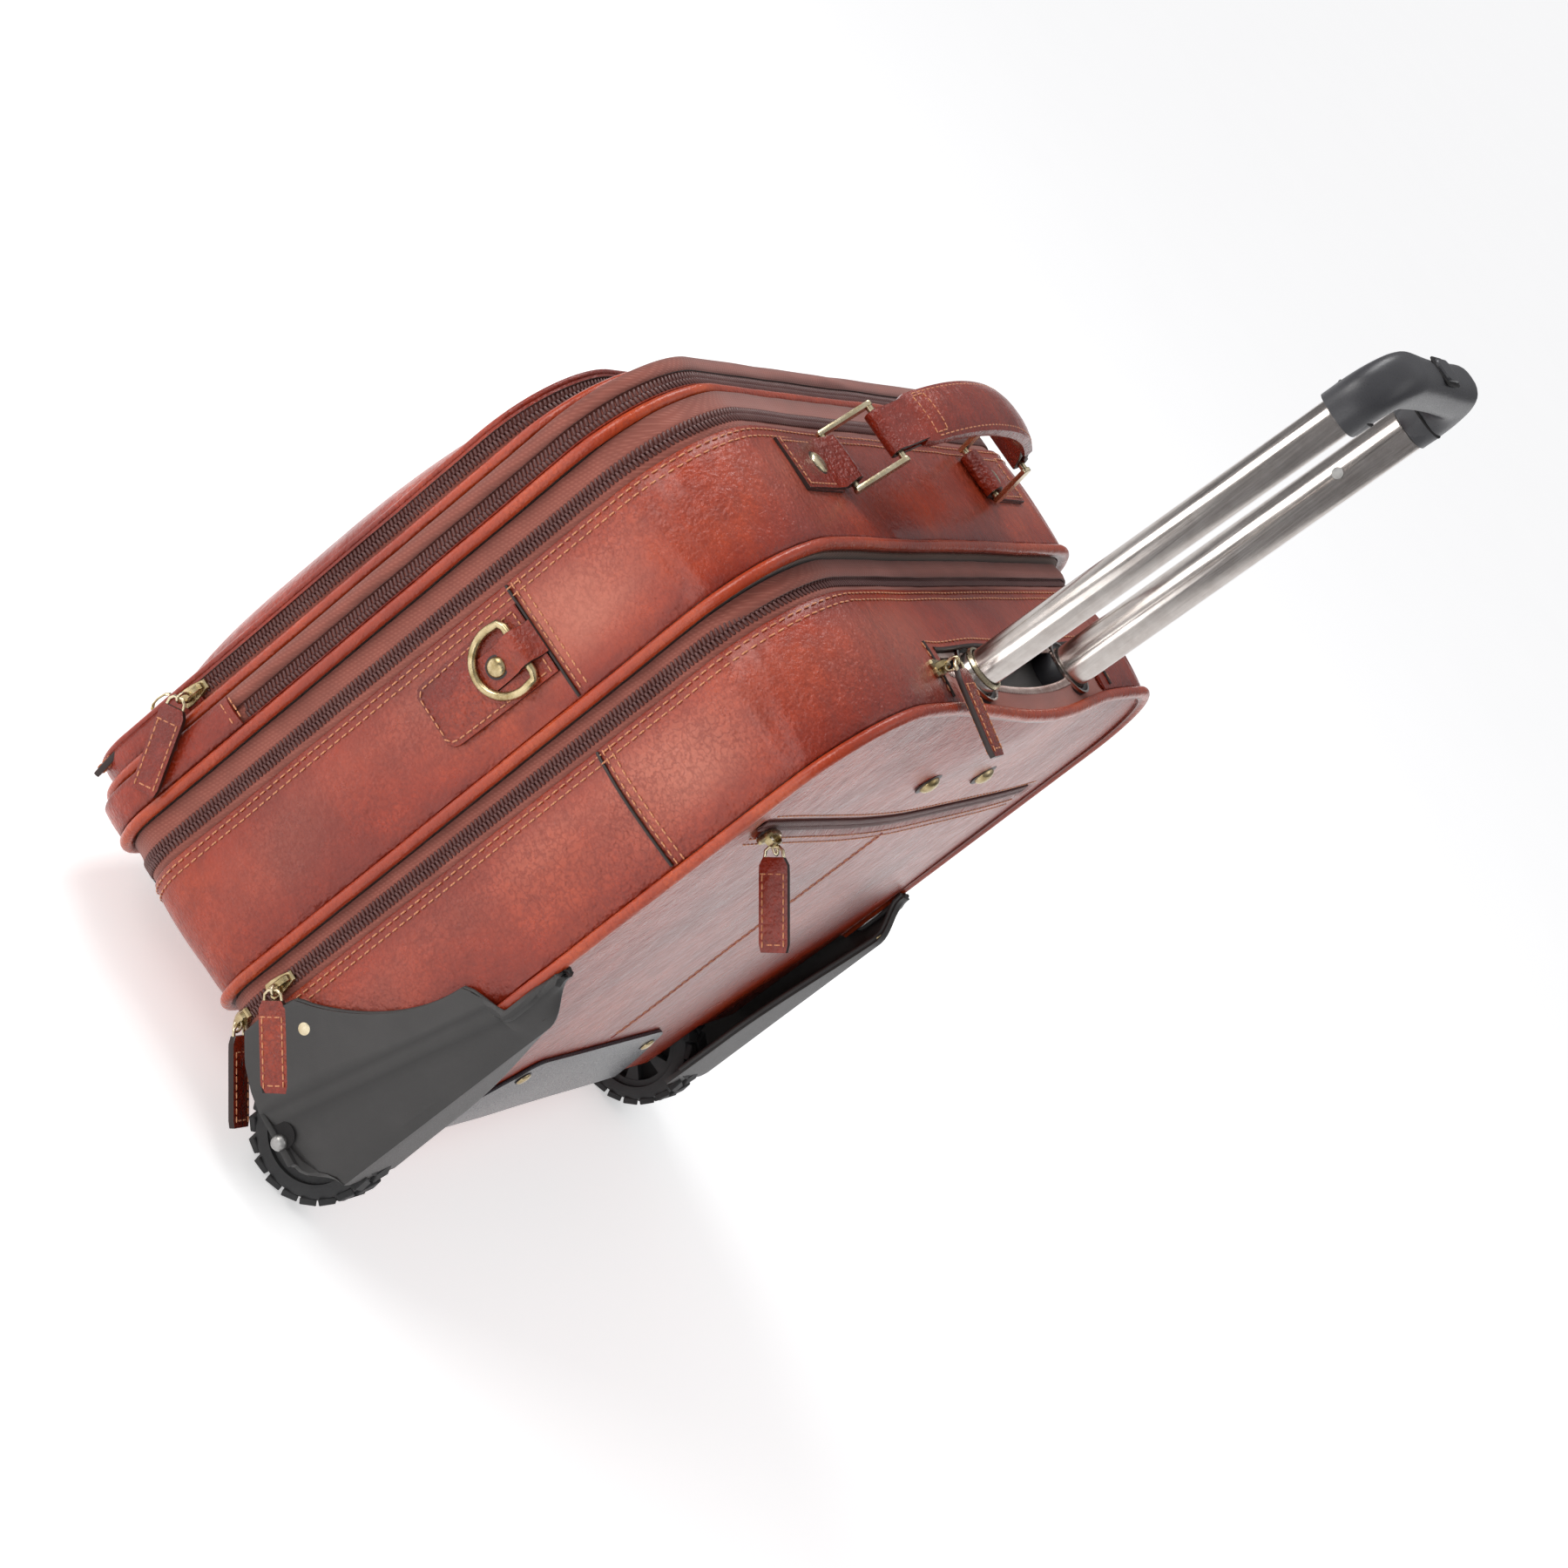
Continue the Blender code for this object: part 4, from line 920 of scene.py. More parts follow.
def crown_y(x, z):
    """The front pocket's swollen face."""
    mid_z = (POCKET_H + 0.006) / 2.0
    u = min(abs(x) / POCKET_HALF_W, 1.0)
    v = min(abs(z - mid_z) / (POCKET_H - mid_z), 1.0)
    reach = min((u ** 3.2 + v ** 3.2) ** (1.0 / 3.2), 1.0)
    rise = math.sqrt(max(1.0 - reach * reach, 0.0))
    dimple = 0.0012 * noise.noise(Vector((x * 14.0, 3.0, z * 14.0)))
    return Y_RIM + (Y_CROWN - Y_RIM) * rise + dimple * rise


def bend_at_fold(obj, nodes=()):
    """Put a piece of the pocket's front in the row frame as it stands, on no body, with its transform baked
    in.
    """
    place(obj, None, nodes)
    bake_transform(obj)


def front_pocket():
    """The crowned pocket front, drawn whole across its fold line; its zip's front row and the seam's stitches
    ride on the flap.
    """
    face = panel_grid("front_pocket_face", POCKET_LINE, crown_y, 0.0026, [LEATHER, LINING], -1.0, 26)
    bend_at_fold(face, ("front_pocket_flap", "front_pocket_lower"))
    section = [(Y_RIM + 0.0016 * math.sin(a), 0.0016 * math.cos(a) - 0.0008, 0.0, 0.0, 0)
               for a in [2.0 * math.pi * k / 10.0 for k in range(10)]]
    bend_at_fold(sweep("front_pocket_shadow_ring", POCKET_LINE.points, section, [LEATHER], True))

    def open_part(_, z):
        return z > FOLD.z

    back_edge = Y_WELT1 - WELT_R - GAP
    tape_band("zip1_tape", POCKET_LINE, Y_ZIP1 + 0.0004, back_edge, "pocket_section",
              ("front_zip_tape_pocket",), open_part, ridge=Y_ZIP1 + 0.003)
    tape_band("zip1_tape_flap", POCKET_LINE, Y_RIM + 0.0016, Y_ZIP1 - 0.0004, "front_flap", (), open_part,
              ridge=Y_ZIP1 - 0.003)
    coil("zip1", POCKET_LINE, Y_ZIP1, "front_flap", "pocket_section", open_part)
    base = sweep("front_pocket_base", POCKET_LINE.low_part(FOLD.z + 0.004),
                 folded_section(Y_RIM + 0.001, back_edge), [LEATHER, LINING], False, gusset_swell(0.003))
    place(base, "pocket_section")
    seam_z = 0.262
    seam_line = [Vector((x, crown_y(x, seam_z) - 0.0004, seam_z)) for x in between(-0.17, 0.17, 40)]
    stitches("front_pocket_stitches", path_stitches(seam_line, (0, -1, 0)), "front_flap")


def linings():
    """The boards between the sections, covered in cloth and softly padded."""
    inset = 0.0045
    corners = (TOP_R - 0.004, BOTTOM_R - 0.004)
    narrow = WELT1_LINE.points[len(WELT1_LINE.points) // 4][0] - inset
    boards = (("divider_panel", "front_section", (HALF_W - inset, BODY_H - inset, inset, *corners)),
              ("organiser_panel", "pocket_section", (HALF_W - inset, SECTION_H - inset, inset, *corners)),
              ("pocket_back_panel", "pocket_section", (narrow, SECTION_H - 0.024, 0.0085, 0.048, 0.026)))
    for node, body, shape in boards:
        y0 = middle(node).y

        def face(x, z, y0=y0):
            u = min(abs(x) / HALF_W, 1.0)
            v = min(abs(z - BODY_H / 2.0) / (BODY_H / 2.0), 1.0)
            pad = 0.0012 * (1.0 - u ** 4) * (1.0 - v ** 4)
            return y0 + 0.0016 + pad
        board = panel_grid(node.replace("_panel", "_board"), Outline(*shape), face, 0.0038, [LINING, LINING],
                           1.0, 10)
        place(board, body, (node,))


# ---------------------------------------------------------------- the back
BACK_ZIP_Z = middle("back_pocket_zip").z
BACK_CROWN = 0.0042


def back_y(x, z):
    """The back panel's face: flat at the rim, a little full in its middle, with a lip over the pocket zip."""
    u = min(abs(x) / HALF_W, 1.0)
    v = min(abs(z - REAR_H / 2.0) / (REAR_H / 2.0), 1.0)
    full = BACK_CROWN * (1.0 - u ** 3) * (1.0 - v ** 4)
    y = Y_BACK - 0.0006 + full
    y += 0.0009 * noise.noise(Vector((x * 10.0, 1.0, z * 10.0)))
    line = zip_line_z(x)
    trough = math.exp(-((z - line) / 0.0052) ** 2)
    y -= 0.003 * trough * smoothstep(0.196, 0.186, abs(x))
    return y


def zip_line_z(x):
    """The pocket zip sags a little between its ends."""
    sag = 0.005 * math.cos(math.pi * min(abs(x), 0.19) / 0.38) ** 2
    return BACK_ZIP_Z - sag + 0.0045 * smoothstep(0.05, 0.19, x)


def back():
    # painted shade in the trough over the pocket zip
    def shade(x, z):
        near_zip = abs(z - zip_line_z(x))
        return 0.5 * smoothstep(0.0075, 0.0055, near_zip) * smoothstep(0.198, 0.188, abs(x))
    panel = panel_grid_square("back_panel_leather", back_y, 0.003, [LEATHER, LINING], shade)
    cut_wells(panel)
    place(panel, "root", ("back_panel",))
    length = 0.186
    ends = between(-length, length, 120)
    verts = []
    for x in ends:
        z = zip_line_z(x)
        for off, lift in ((-0.005, -0.0006), (-0.003, 0.0009), (0.0, 0.0012), (0.003, 0.0009),
                          (0.005, -0.0006)):
            verts.append(relaxed(Vector((x, back_y(x, z) + lift + 0.0004, z + off))))
    tape = mesh_object("back_zip_tape", verts, quads(len(ends), 5, around=False), [TAPE])
    place(tape, "root", ("back_pocket_zip",))
    frames = []
    for row in (-1, 1):
        x = -length + (0.0 if row < 0 else TOOTH_PITCH / 2.0)
        while x < length:
            z = zip_line_z(x)
            lean = Vector((0.22 * row, 0.0, 1.0)).normalized()
            tooth_at = Vector((x, back_y(x, z) + 0.0019, z + row * (TOOTH / 2.0 - 0.0005)))
            frames.append((tooth_at, lean, Vector((0, 1, 0))))
            x += TOOTH_PITCH
    place(capsules("back_zip_teeth", frames, TOOTH, TOOTH_R, COIL, 0.85), "root")
    frames = []
    for offset in (-0.0085, 0.0085, -0.0125):
        line = [Vector((x, back_y(x, zip_line_z(x) + offset) + 0.0001, zip_line_z(x) + offset))
                for x in ends]
        frames += path_stitches(line, (0, 1, 0))
    stitches("back_zip_stitches", frames, "root")
    seam = []
    for x in (-0.0022, 0.0022):
        line = [Vector((x, back_y(x, z) + 0.0001, z)) for z in between(0.07, 0.246, 40)]
        seam += path_stitches(line, (0, 1, 0))
    stitches("back_seam_stitches", seam, "root")
    ridge = [relaxed(Vector((0.0, back_y(0.0, z) - 0.0003, z))) for z in between(0.066, 0.248, 40)]
    seam_bar("back_centre_seam", "root", ridge, 0.0008, (0, 1, 0), LEATHER)


def panel_grid_square(name, y_of, thickness, materials, shade_of):
    """The back panel as a grid squeezed to the body's rounded outline, fine enough for its zip's trough."""
    columns, rows = 96, 120
    width, block = columns + 1, (columns + 1) * (rows + 1)
    cells = quads(rows + 1, width, around=False)
    verts, faces, indices, shade = [], [], [], []
    inset = 0.0024

    def squeezed(u, v):
        """A point of the rounded rectangle for a point of the square -1..1."""
        half_w = HALF_W - inset
        z_mid, half_h = REAR_H / 2.0, REAR_H / 2.0 - inset
        radius = (TOP_R if v > 0 else BOTTOM_R) - inset
        limit = half_w
        from_end = half_h - abs(v * half_h)
        if from_end < radius:
            limit = half_w - radius + math.sqrt(max(radius ** 2 - (radius - from_end) ** 2, 0.0))
        return u * limit, z_mid + v * half_h

    for layer in (0, 1):
        faces += [tuple(layer * block + k for k in face) for face in cells]
        indices += [layer] * len(cells)
        for j in range(rows + 1):
            for i in range(columns + 1):
                x, z = squeezed(2.0 * i / columns - 1.0, 2.0 * j / rows - 1.0)
                verts.append(relaxed(Vector((x, y_of(x, z) - thickness * layer, z))))
                shade.append(shade_of(x, z) if layer == 0 else 0.0)
    rim = [i for i in range(columns)] + [j * width + columns for j in range(rows)]
    rim += [rows * width + i for i in range(columns, 0, -1)] + [j * width for j in range(rows, 0, -1)]
    faces += [(a, b, block + b, block + a) for a, b in zip(rim, rim[1:] + rim[:1])]
    indices += [0] * len(rim)
    return mesh_object(name, verts, faces, materials, indices, shade)


# ---------------------------------------------------------------- straps, domes and turned pieces


def strap(name, path, half_width, thickness, across, material=None, edge=None, crown=0.0, width_at=None):
    """A leather strap along a path: flat with painted edges, or padded where crown lifts its middle."""
    across = Vector(across).normalized()
    path = [Vector(p) for p in path]
    steps = 8
    verts = []
    for i, point in enumerate(path):
        along = (path[min(i + 1, len(path) - 1)] - path[max(i - 1, 0)]).normalized()
        normal = across.cross(along).normalized()
        t = i / (len(path) - 1)
        half = half_width * (width_at(t) if width_at else 1.0)
        for side in (1, -1):
            for k in range(steps + 1):
                u = side * (1.0 - 2.0 * k / steps)
                puff = crown * (1.0 - abs(u) ** 2.6) * min(1.0, 8.0 * t, 8.0 * (1.0 - t)) ** 0.5
                rise = side * (thickness / 2.0 + puff)
                verts.append(point + across * (u * (half - 0.0004)) + normal * rise)
            verts.append(point + across * (-side * half))
    count = 2 * (steps + 2)
    faces = quads(len(path), count) + caps(len(path), count)
    indices = [1 if k % (steps + 2) >= steps else 0 for _ in path[1:] for k in range(count)] + [1, 1]
    return mesh_object(name, verts, faces, [material or GLOSSY, edge or EDGE_PAINT_AND_SHADOW], indices, smooth_angle=50.0)


def turned(name, profile, origin, axis, material, segments=64, closed=True):
    """A profile of (radius, height) turned about an axis; closed joins its last point to its first."""
    axis = Vector(axis).normalized()
    turn = Vector((0.0, 0.0, 1.0)).rotation_difference(axis)
    side, other = turn @ Vector((1.0, 0.0, 0.0)), turn @ Vector((0.0, 1.0, 0.0))
    verts = []
    count = len(profile)
    for s in range(segments):
        angle = 2.0 * math.pi * s / segments
        outward = side * math.cos(angle) + other * math.sin(angle)
        for radius, height in profile:
            verts.append(Vector(origin) + axis * height + outward * radius)
    faces = quads(segments, count, True, closed)
    if not closed:
        faces += [tuple(s * count + end for s in range(segments))
                  for end in (0, count - 1) if profile[end][0] > 1e-6]
    return mesh_object(name, verts, faces, [material], smooth_angle=32.0)


def dome(name, centre, up, radius, height, material, rim=0.0):
    """A rivet's or stud's head, with an optional ring of painted shadow under it, in the edge paint's colour.
    """
    profile = [(radius, 0.0), (radius, height * 0.25)]
    for i in range(1, 7):
        angle = math.radians(90.0 * i / 6.0)
        profile.append((max(radius * math.cos(angle), 0.00002), height * (0.25 + 0.75 * math.sin(angle))))
    head = turned(name, profile, centre, up, material, 28, closed=False)
    if rim:
        # a ring of painted shadow round the head's foot
        cut = [(radius + rim, 0.0), (radius + rim, height * 0.18), (radius * 0.8, height * 0.26),
               (radius * 0.8, 0.0)]
        shadow_ring = turned(name + "_shadow_ring", cut, centre, up, EDGE_PAINT_AND_SHADOW, 28)
        return combined(name, [head, shadow_ring])
    return head


def stud(name, body, centre, up, radius, height, material, rim):
    """A dome placed straight onto a body."""
    place(dome(name, centre, up, radius, height, material, rim), body)


def seam_bar(name, body, points, radius, flat, material=None):
    """A thin bar along a seam or a cut edge, painted unless it has a material of its own."""
    place(tube_along(name, points, radius, material or EDGE_PAINT_AND_SHADOW, sides=8, flat=flat), body)


# ---------------------------------------------------------------- sliders and pulls


def zip_slider(name, centre, along, outward, body, node=True):
    """A shield-shaped slider: two plates, their sides, and the bridge that its pull hangs on."""
    along, outward = Vector(along).normalized(), Vector(outward).normalized()
    side = along.cross(outward)
    axes = (side, along, outward)
    half_shield = [(0.0023, -0.008), (0.0036, -0.003), (0.0044, 0.0028), (0.0043, 0.007), (0.0024, 0.008)]
    shield = [(-0.0023, -0.008)] + half_shield + [(0.0, 0.0066)]
    shield += [(-u, v) for u, v in reversed(half_shield[1:])]
    parts = [extruded(name + "_plate", shield, 0.003, BRASS, bevel=0.0008, frame_axes=axes, centre=centre)]
    start = Vector(centre) + outward * 0.0026
    half_arch = [(-0.0062, 0.0), (-0.0058, 0.0018), (-0.004, 0.0031), (0.0, 0.0036)]
    lowered = [(0.0036, 0.0031), (0.0056, 0.0018), (0.0062, 0.0)]
    arch = [start + along * a + outward * h for a, h in half_arch + lowered]
    parts.append(strap(name + "_bridge", arch, 0.0017, 0.0009, side, BRASS, BRASS))
    return place(combined(name, parts), body, (name,) if node else ())


def pull(name, pivot, hang, wide, body, node=True, length=0.042):
    """A leather pull: stitched tab with painted edges, its end wrapped over a wire link."""
    hang = Vector(hang).normalized()
    wide = (Vector(wide) - hang * hang.dot(Vector(wide))).normalized()
    up = wide.cross(hang)
    pivot = Vector(pivot)
    neck = -0.0005
    path = [pivot + hang * along for along in between(neck, length, 12)]

    def width_at(t):
        return 0.72 + 0.28 * smoothstep(0.0, 0.1, t) if t < 0.5 else 1.0 - 0.12 * smoothstep(0.96, 1.0, t)
    tab = strap(name + "_tab", path, 0.0074, 0.0028, wide, GLOSSY, EDGE_PAINT_AND_SHADOW, 0.0007, width_at)
    link = [(-0.0036, 0.0026), (-0.0046, -0.0004), (-0.0042, -0.0034), (-0.0022, -0.0052), (0.0022, -0.0052),
            (0.0042, -0.0034), (0.0046, -0.0004), (0.0036, 0.0026)]
    wire = tube_along(name + "_link", [pivot + wide * u + hang * v for u, v in link], 0.00085, PALE_BRASS,
                      sides=10, flat=up)
    half, top, end = 0.0052, neck + 0.0075, length - 0.0035
    box = [(-half, top), (-half, end), (half, end), (half, top), (-half, top)]
    frames = []
    for face in (1, -1):
        corners = [pivot + wide * u + hang * v + up * (face * 0.0019) for u, v in box]
        frames += path_stitches(corners, up * face, 0.0037)
    rows = fine_stitches(name + "_stitches", frames)
    return place(combined(name, [tab, wire, rows]), body, (name,) if node else ())


HANG = Vector((0.05, 0.815, -0.577)).normalized()   # how a loose pull hangs when the case is tilted to roll
SIDE_ZIP_X = HALF_W - RECESS + GAP


def zips():
    corner_out = Vector((math.cos(math.radians(40.0)), 0.0, -math.sin(math.radians(40.0))))
    corner = Vector((HALF_W - BOTTOM_R, Y_ZIP4, BOTTOM_R)) + corner_out * (BOTTOM_R - RECESS + 2.5 * GAP)
    down, across, back_way, up = (0, 0, -1), (1, 0, 0), (0, 1, 0), (0, 0, 1)
    rear_at = Vector((SIDE_ZIP_X, Y_ZIP4, middle("slider_rear_upper").z))
    front_at = Vector((POCKET_HALF_W - RECESS + 0.0008, Y_ZIP1, 0.079))
    back_at = Vector((middle("slider_back_pocket").x, low("slider_back_pocket", 1), BACK_ZIP_Z))
    slot_at = Vector((middle("slider_slot").x, middle("slider_slot").y, REAR_H + 0.003))
    runs = (("rear_upper", rear_at, down, across, (0, HANG.y, HANG.z), None, 0.0093),
            ("rear_lower", corner, (-0.643, 0, -0.766), corner_out, HANG, across, 0.0046),
            ("front_pocket", front_at, down, across, (0.06, 0.53, -0.85), None, 0.0145),
            ("back_pocket", back_at, across, back_way, HANG, up, 0.0046),
            ("slot", slot_at, across, up, (-0.03, 0.97, -0.22), None, 0.011))
    for name, centre, along, outward, hang, wide, lift in runs:
        zip_slider("slider_" + name, centre, along, outward, "slider_" + name)
        hang = Vector(hang).normalized()
        pivot = centre + Vector(outward) * lift + hang * 0.0072
        wide = Vector(wide) if wide else Vector(outward).cross(hang)
        pull("pull_" + name, pivot, hang, wide, "pull_" + name)
        eye_at = centre + Vector(outward) * (lift + 0.0058) * 0.5 + hang * 0.0022
        half_lift = max((lift - 0.005) * 0.5, 0.0014)
        oval = ring_points(eye_at, outward, hang, half_lift + 0.0008, 0.0024)
        eye = tube_along("pull_eye_" + name, oval, 0.00075, PALE_BRASS, True, 8, Vector(outward).cross(hang))
        place(eye, "pull_" + name)
    far_x, far_z = POCKET_HALF_W - 0.0085, 0.048
    far_pull = Vector((far_x, crown_y(far_x, far_z) - 0.0024, far_z))
    pull("front_pocket_second_pull", far_pull, (0.0, 0.12, -1.0), (0.94, 0.34, 0.0), "pocket_section",
         node=False, length=0.038)
    zip_slider("front_pocket_second_slider", far_pull + Vector((0, 0.0022, 0.01)), (0, 0, -1), (0.35, -1, 0),
               "pocket_section", False)


def ring_points(centre, along, up, half_long, half_high):
    """An oval ring through a bridge, in the plane of along and up."""
    along, up = Vector(along).normalized(), Vector(up).normalized()
    steps = 14
    return [Vector(centre) + along * (half_long * math.cos(a)) + up * (half_high * math.sin(a))
            for a in [2.0 * math.pi * k / steps for k in range(steps)]]


# ---------------------------------------------------------------- D-rings and carry handle


def fullness(x, y, z):
    """How far the main gusset's skin stands out at a point of its surface."""
    t = (y - GUSSET[0]) / (GUSSET[1] - GUSSET[0])
    return bulge(min(max(t, 0.0), 1.0)) * gusset_swell(FULLNESS)(x, y, z)


def laid_on_side(obj, side):
    """Lay a piece made on the plain side plane onto the gusset's full skin."""
    for vert in obj.data.vertices:
        x, y, z = vert.co
        vert.co = relaxed(Vector((x + side * fullness(side * HALF_W, y, z), y, z)))
    return obj


def laid_on_top(obj):
    """Lift a piece made on the plain top plane onto the gusset's full skin."""
    for vert in obj.data.vertices:
        vert.co.z += fullness(*vert.co.xy, BODY_H)
    return obj


def d_rings():
    half_patch = [(0.013, 0.0), (0.0158, 0.0022), (0.0168, 0.0055), (0.0178, 0.035), (0.0184, 0.064)]
    outline = [(-0.013, 0.0)] + half_patch + [(-u, v) for u, v in reversed(half_patch[1:])]
    # the loop's profile: how far it stands off the skin, and its height
    loop = [(-0.0006, 0.2115), (0.0024, 0.2126), (0.0028, 0.2215), (0.004, 0.2262), (0.006, 0.2295),
            (0.0068, 0.2322), (0.0058, 0.235), (0.003, 0.2372), (0.0014, 0.2395), (0.0008, 0.2425)]
    wide, long = 0.016, 0.015
    flat_end = (wide - 0.0008, D_BAR_Z - 0.0016)
    ring_path = [(y, D_BAR_Z) for y in (-wide + 0.004, -0.006, 0.006, wide - 0.004)] + [flat_end]
    ring_path += arc((0.0, D_BAR_Z - 0.008), (wide, -long - 0.002), 0.0, 180.0, 22)
    ring_path.append((-flat_end[0], flat_end[1]))
    for side, tag in SIDES:
        face = HALF_W + fullness(side * HALF_W, D_BAR_Y, 0.215) + LAP
        axes = ((0, 1, 0), (0, 0, 1), (side, 0, 0))
        centre = (side * (HALF_W + 0.0002), D_BAR_Y, 0.177)
        patch = extruded("d_ring_patch_leather_" + tag, outline, 0.0022, GLOSSY, EDGE_PAINT_AND_SHADOW, 0.0005, axes, centre,
                         0.0006)
        place(laid_on_side(patch, side), "front_section", ("d_ring_patch_" + tag,))
        row = in_space(inset_path(outline, 0.0026), axes, centre, 0.0028)
        rows = fine_stitches("d_ring_patch_stitches_" + tag, path_stitches(row, (side, 0, 0), 0.0041),
                             length=0.0031, flat=0.75)
        place(laid_on_side(rows, side), "front_section")
        band = strap("d_ring_loop_" + tag, [(side * (face + off), D_BAR_Y, z) for off, z in loop], 0.0088,
                     0.0018, (0, side, 0), GLOSSY, EDGE_PAINT_AND_SHADOW, 0.0003)
        place(band, "front_section")
        stud("d_ring_rivet_" + tag, "front_section", (side * (face + 0.0034), D_BAR_Y, 0.2184), (side, 0, 0),
             0.0048, 0.0028, BRASS, 0.0009)
        bar_x = side * (HALF_W + 0.0055)
        ring = tube_along("d_ring_wire_" + tag, [(bar_x, D_BAR_Y + y, z) for y, z in ring_path], 0.0021,
                          BRASS, True, 16, flat=(1, 0, 0))
        place(ring, "d_ring_" + tag, ("d_ring_" + tag,))


HANDLE_Y, HANDLE_Z = -0.043, 0.3666
PIN_X, PIN_UP_X, PIN_UP_Z = 0.099, 0.087, 0.023
ARCH = 0.024
PIN_WRAP = 0.0036         # the leather's middle line round a pin


def handle_z(x):
    return HANDLE_Z + PIN_UP_Z + ARCH * (1.0 - (abs(x) / 0.091) ** 2.2)


def handle_ring(side, tag):
    """A square ring: a plate on each side and a pin at each end."""
    low_pin = Vector((side * PIN_X, HANDLE_Y, HANDLE_Z))
    high_pin = Vector((side * PIN_UP_X, HANDLE_Y, HANDLE_Z + PIN_UP_Z))
    rise = (high_pin - low_pin).normalized()
    parts = []
    for end in (-1, 1):
        outward = Vector((0, end, 0))
        parts.append(extruded("plate", rounded(0.0152, 0.0026, 0.002), 0.0024, PALE_BRASS, bevel=0.0004,
                              frame_axes=(rise, rise.cross(outward), outward),
                              centre=(low_pin + high_pin) / 2.0 + outward * 0.0148))
    for pin in (low_pin, high_pin):
        bar = [pin + Vector((0, y, 0)) for y in (-0.015, 0.0, 0.015)]
        parts.append(tube_along("pin", bar, 0.0018, PALE_BRASS, flat=(1, 0, 0)))
    place(combined("handle_ring_brass_" + tag, parts), "carry_handle", ("handle_ring_" + tag,))


def handle_tab(side, tag):
    """A tab on the top: leather wrapped round the ring's lower pin, a base plate, stitches and a stud."""
    top = BODY_H + 0.003
    path = [(0.1505, top - 0.0004), (0.135, top), (0.118, top + 0.0002), (0.108, top + 0.0012)]
    path += arc((PIN_X, HANDLE_Z), (PIN_WRAP, PIN_WRAP), 60.0, 252.0, 8)
    path += [(0.104, BODY_H + 0.0022), (0.11, BODY_H + 0.0012)]

    def tab_width(t):
        return 1.0 - 0.14 * smoothstep(0.2, 0.28, t)
    name = "handle_tab_leather_" + tag
    tab = strap(name, [(side * x, HANDLE_Y, z) for x, z in path], 0.0144, 0.0024, (0, side, 0), GLOSSY, EDGE_PAINT_AND_SHADOW,
                0.0004, tab_width)
    base = extruded("tab_base", rounded(0.0225, 0.0144, 0.0018, (0.128 * side, 0.0)), 0.0024, GLOSSY, EDGE_PAINT_AND_SHADOW,
                    0.0004, centre=(0, HANDLE_Y, BODY_H + 0.0006))
    place(laid_on_top(combined(name, [tab, base])), "front_section", ("handle_tab_" + tag,))
    lift = top + 0.0016
    row = [(0.1085, -0.0098), (0.115, -0.012), (0.148, -0.012), (0.148, 0.012), (0.115, 0.012),
           (0.1085, 0.0098)]
    line = [(side * x, HANDLE_Y + y, lift - (0.0002 if x > 0.112 else 0)) for x, y in row]
    rows = fine_stitches("handle_tab_stitches_" + tag, path_stitches(line, (0, 0, 1), 0.0038))
    place(laid_on_top(rows), "front_section")
    rivet = dome("handle_rivet_" + tag, (side * 0.1215, HANDLE_Y, lift - 0.0004), (0, 0, 1), 0.0058, 0.0024,
                 PALE_BRASS, 0.0012)
    place(laid_on_top(rivet), "front_section")


def handle_loop(side, tag):
    """The strap's end, wrapped over the ring's upper pin."""
    far_x, near_x = PIN_UP_X - 0.024, PIN_UP_X - 0.012
    wrap = [(far_x, handle_z(far_x) + 0.0006), (near_x, handle_z(near_x) + 0.0022)]
    wrap += arc((PIN_UP_X, HANDLE_Z + PIN_UP_Z), (PIN_WRAP, PIN_WRAP), 100.0, -100.0, 8)
    wrap += [(near_x, handle_z(near_x) - 0.003), (far_x, handle_z(far_x) - 0.002)]
    loop = strap("handle_loop_" + tag, [(side * x, HANDLE_Y, z) for x, z in wrap], 0.0118, 0.0022,
                 (0, side, 0), GLOSSY, EDGE_PAINT_AND_SHADOW)
    place(loop, "carry_handle")


def carry_handle():
    for side, tag in SIDES:
        handle_ring(side, tag)
        handle_tab(side, tag)
        handle_loop(side, tag)
    reach, half_width, crown = 0.074, 0.0152, 0.003
    stations = between(-reach, reach, 36)

    def strap_width(t):
        return 0.93 + 0.07 * math.sin(math.pi * t) - 0.1 * smoothstep(0.97, 1.0, abs(2.0 * t - 1.0))
    body = strap("handle_strap_leather", [(x, HANDLE_Y, handle_z(x)) for x in stations], half_width, 0.0046,
                 (0, -1, 0), GLOSSY, GLOSSY, crown, strap_width)
    place(body, "carry_handle", ("handle_strap",))
    frames = []
    for end in (-1, 1):
        line = [(x, HANDLE_Y + end * 0.0122, handle_z(x) + 0.0032) for x in stations[2:-2]]
        frames += path_stitches(line, (0, 0, 1), 0.004)
    for side, _ in SIDES:
        outer_x, inner_x = side * (reach - 0.006), side * (reach - 0.013)
        deep = 0.0105
        box = [(outer_x, -deep), (outer_x, deep), (inner_x, deep), (inner_x, -deep), (outer_x, -deep)]
        line = []
        for (x0, y0), (x1, y1) in zip(box, box[1:]):
            for i in range(4):
                x, y = x0 + (x1 - x0) * i / 4.0, y0 + (y1 - y0) * i / 4.0
                puff = crown * (1.0 - abs(y / half_width) ** 2.6)
                puff *= min(1.0, 8.0 * (1.0 - abs(x) / reach) / 2.0) ** 0.5
                line.append((x, HANDLE_Y + y, handle_z(x) + 0.0026 + puff))
        frames += path_stitches(line + line[:1], (0, 0, 1), 0.0036)
    place(fine_stitches("handle_stitches", frames, 0.00042), "carry_handle")


# ---------------------------------------------------------------- trolley
TUBE_X, TUBE_Y = middle("trolley_outer_tube_right").x, 0.0695
LEAN = math.radians(2.1)
TUBE_AXIS = Vector((0.0, math.sin(LEAN), math.cos(LEAN)))
TOP_AT = Vector((0.0, TUBE_Y, BODY_H))


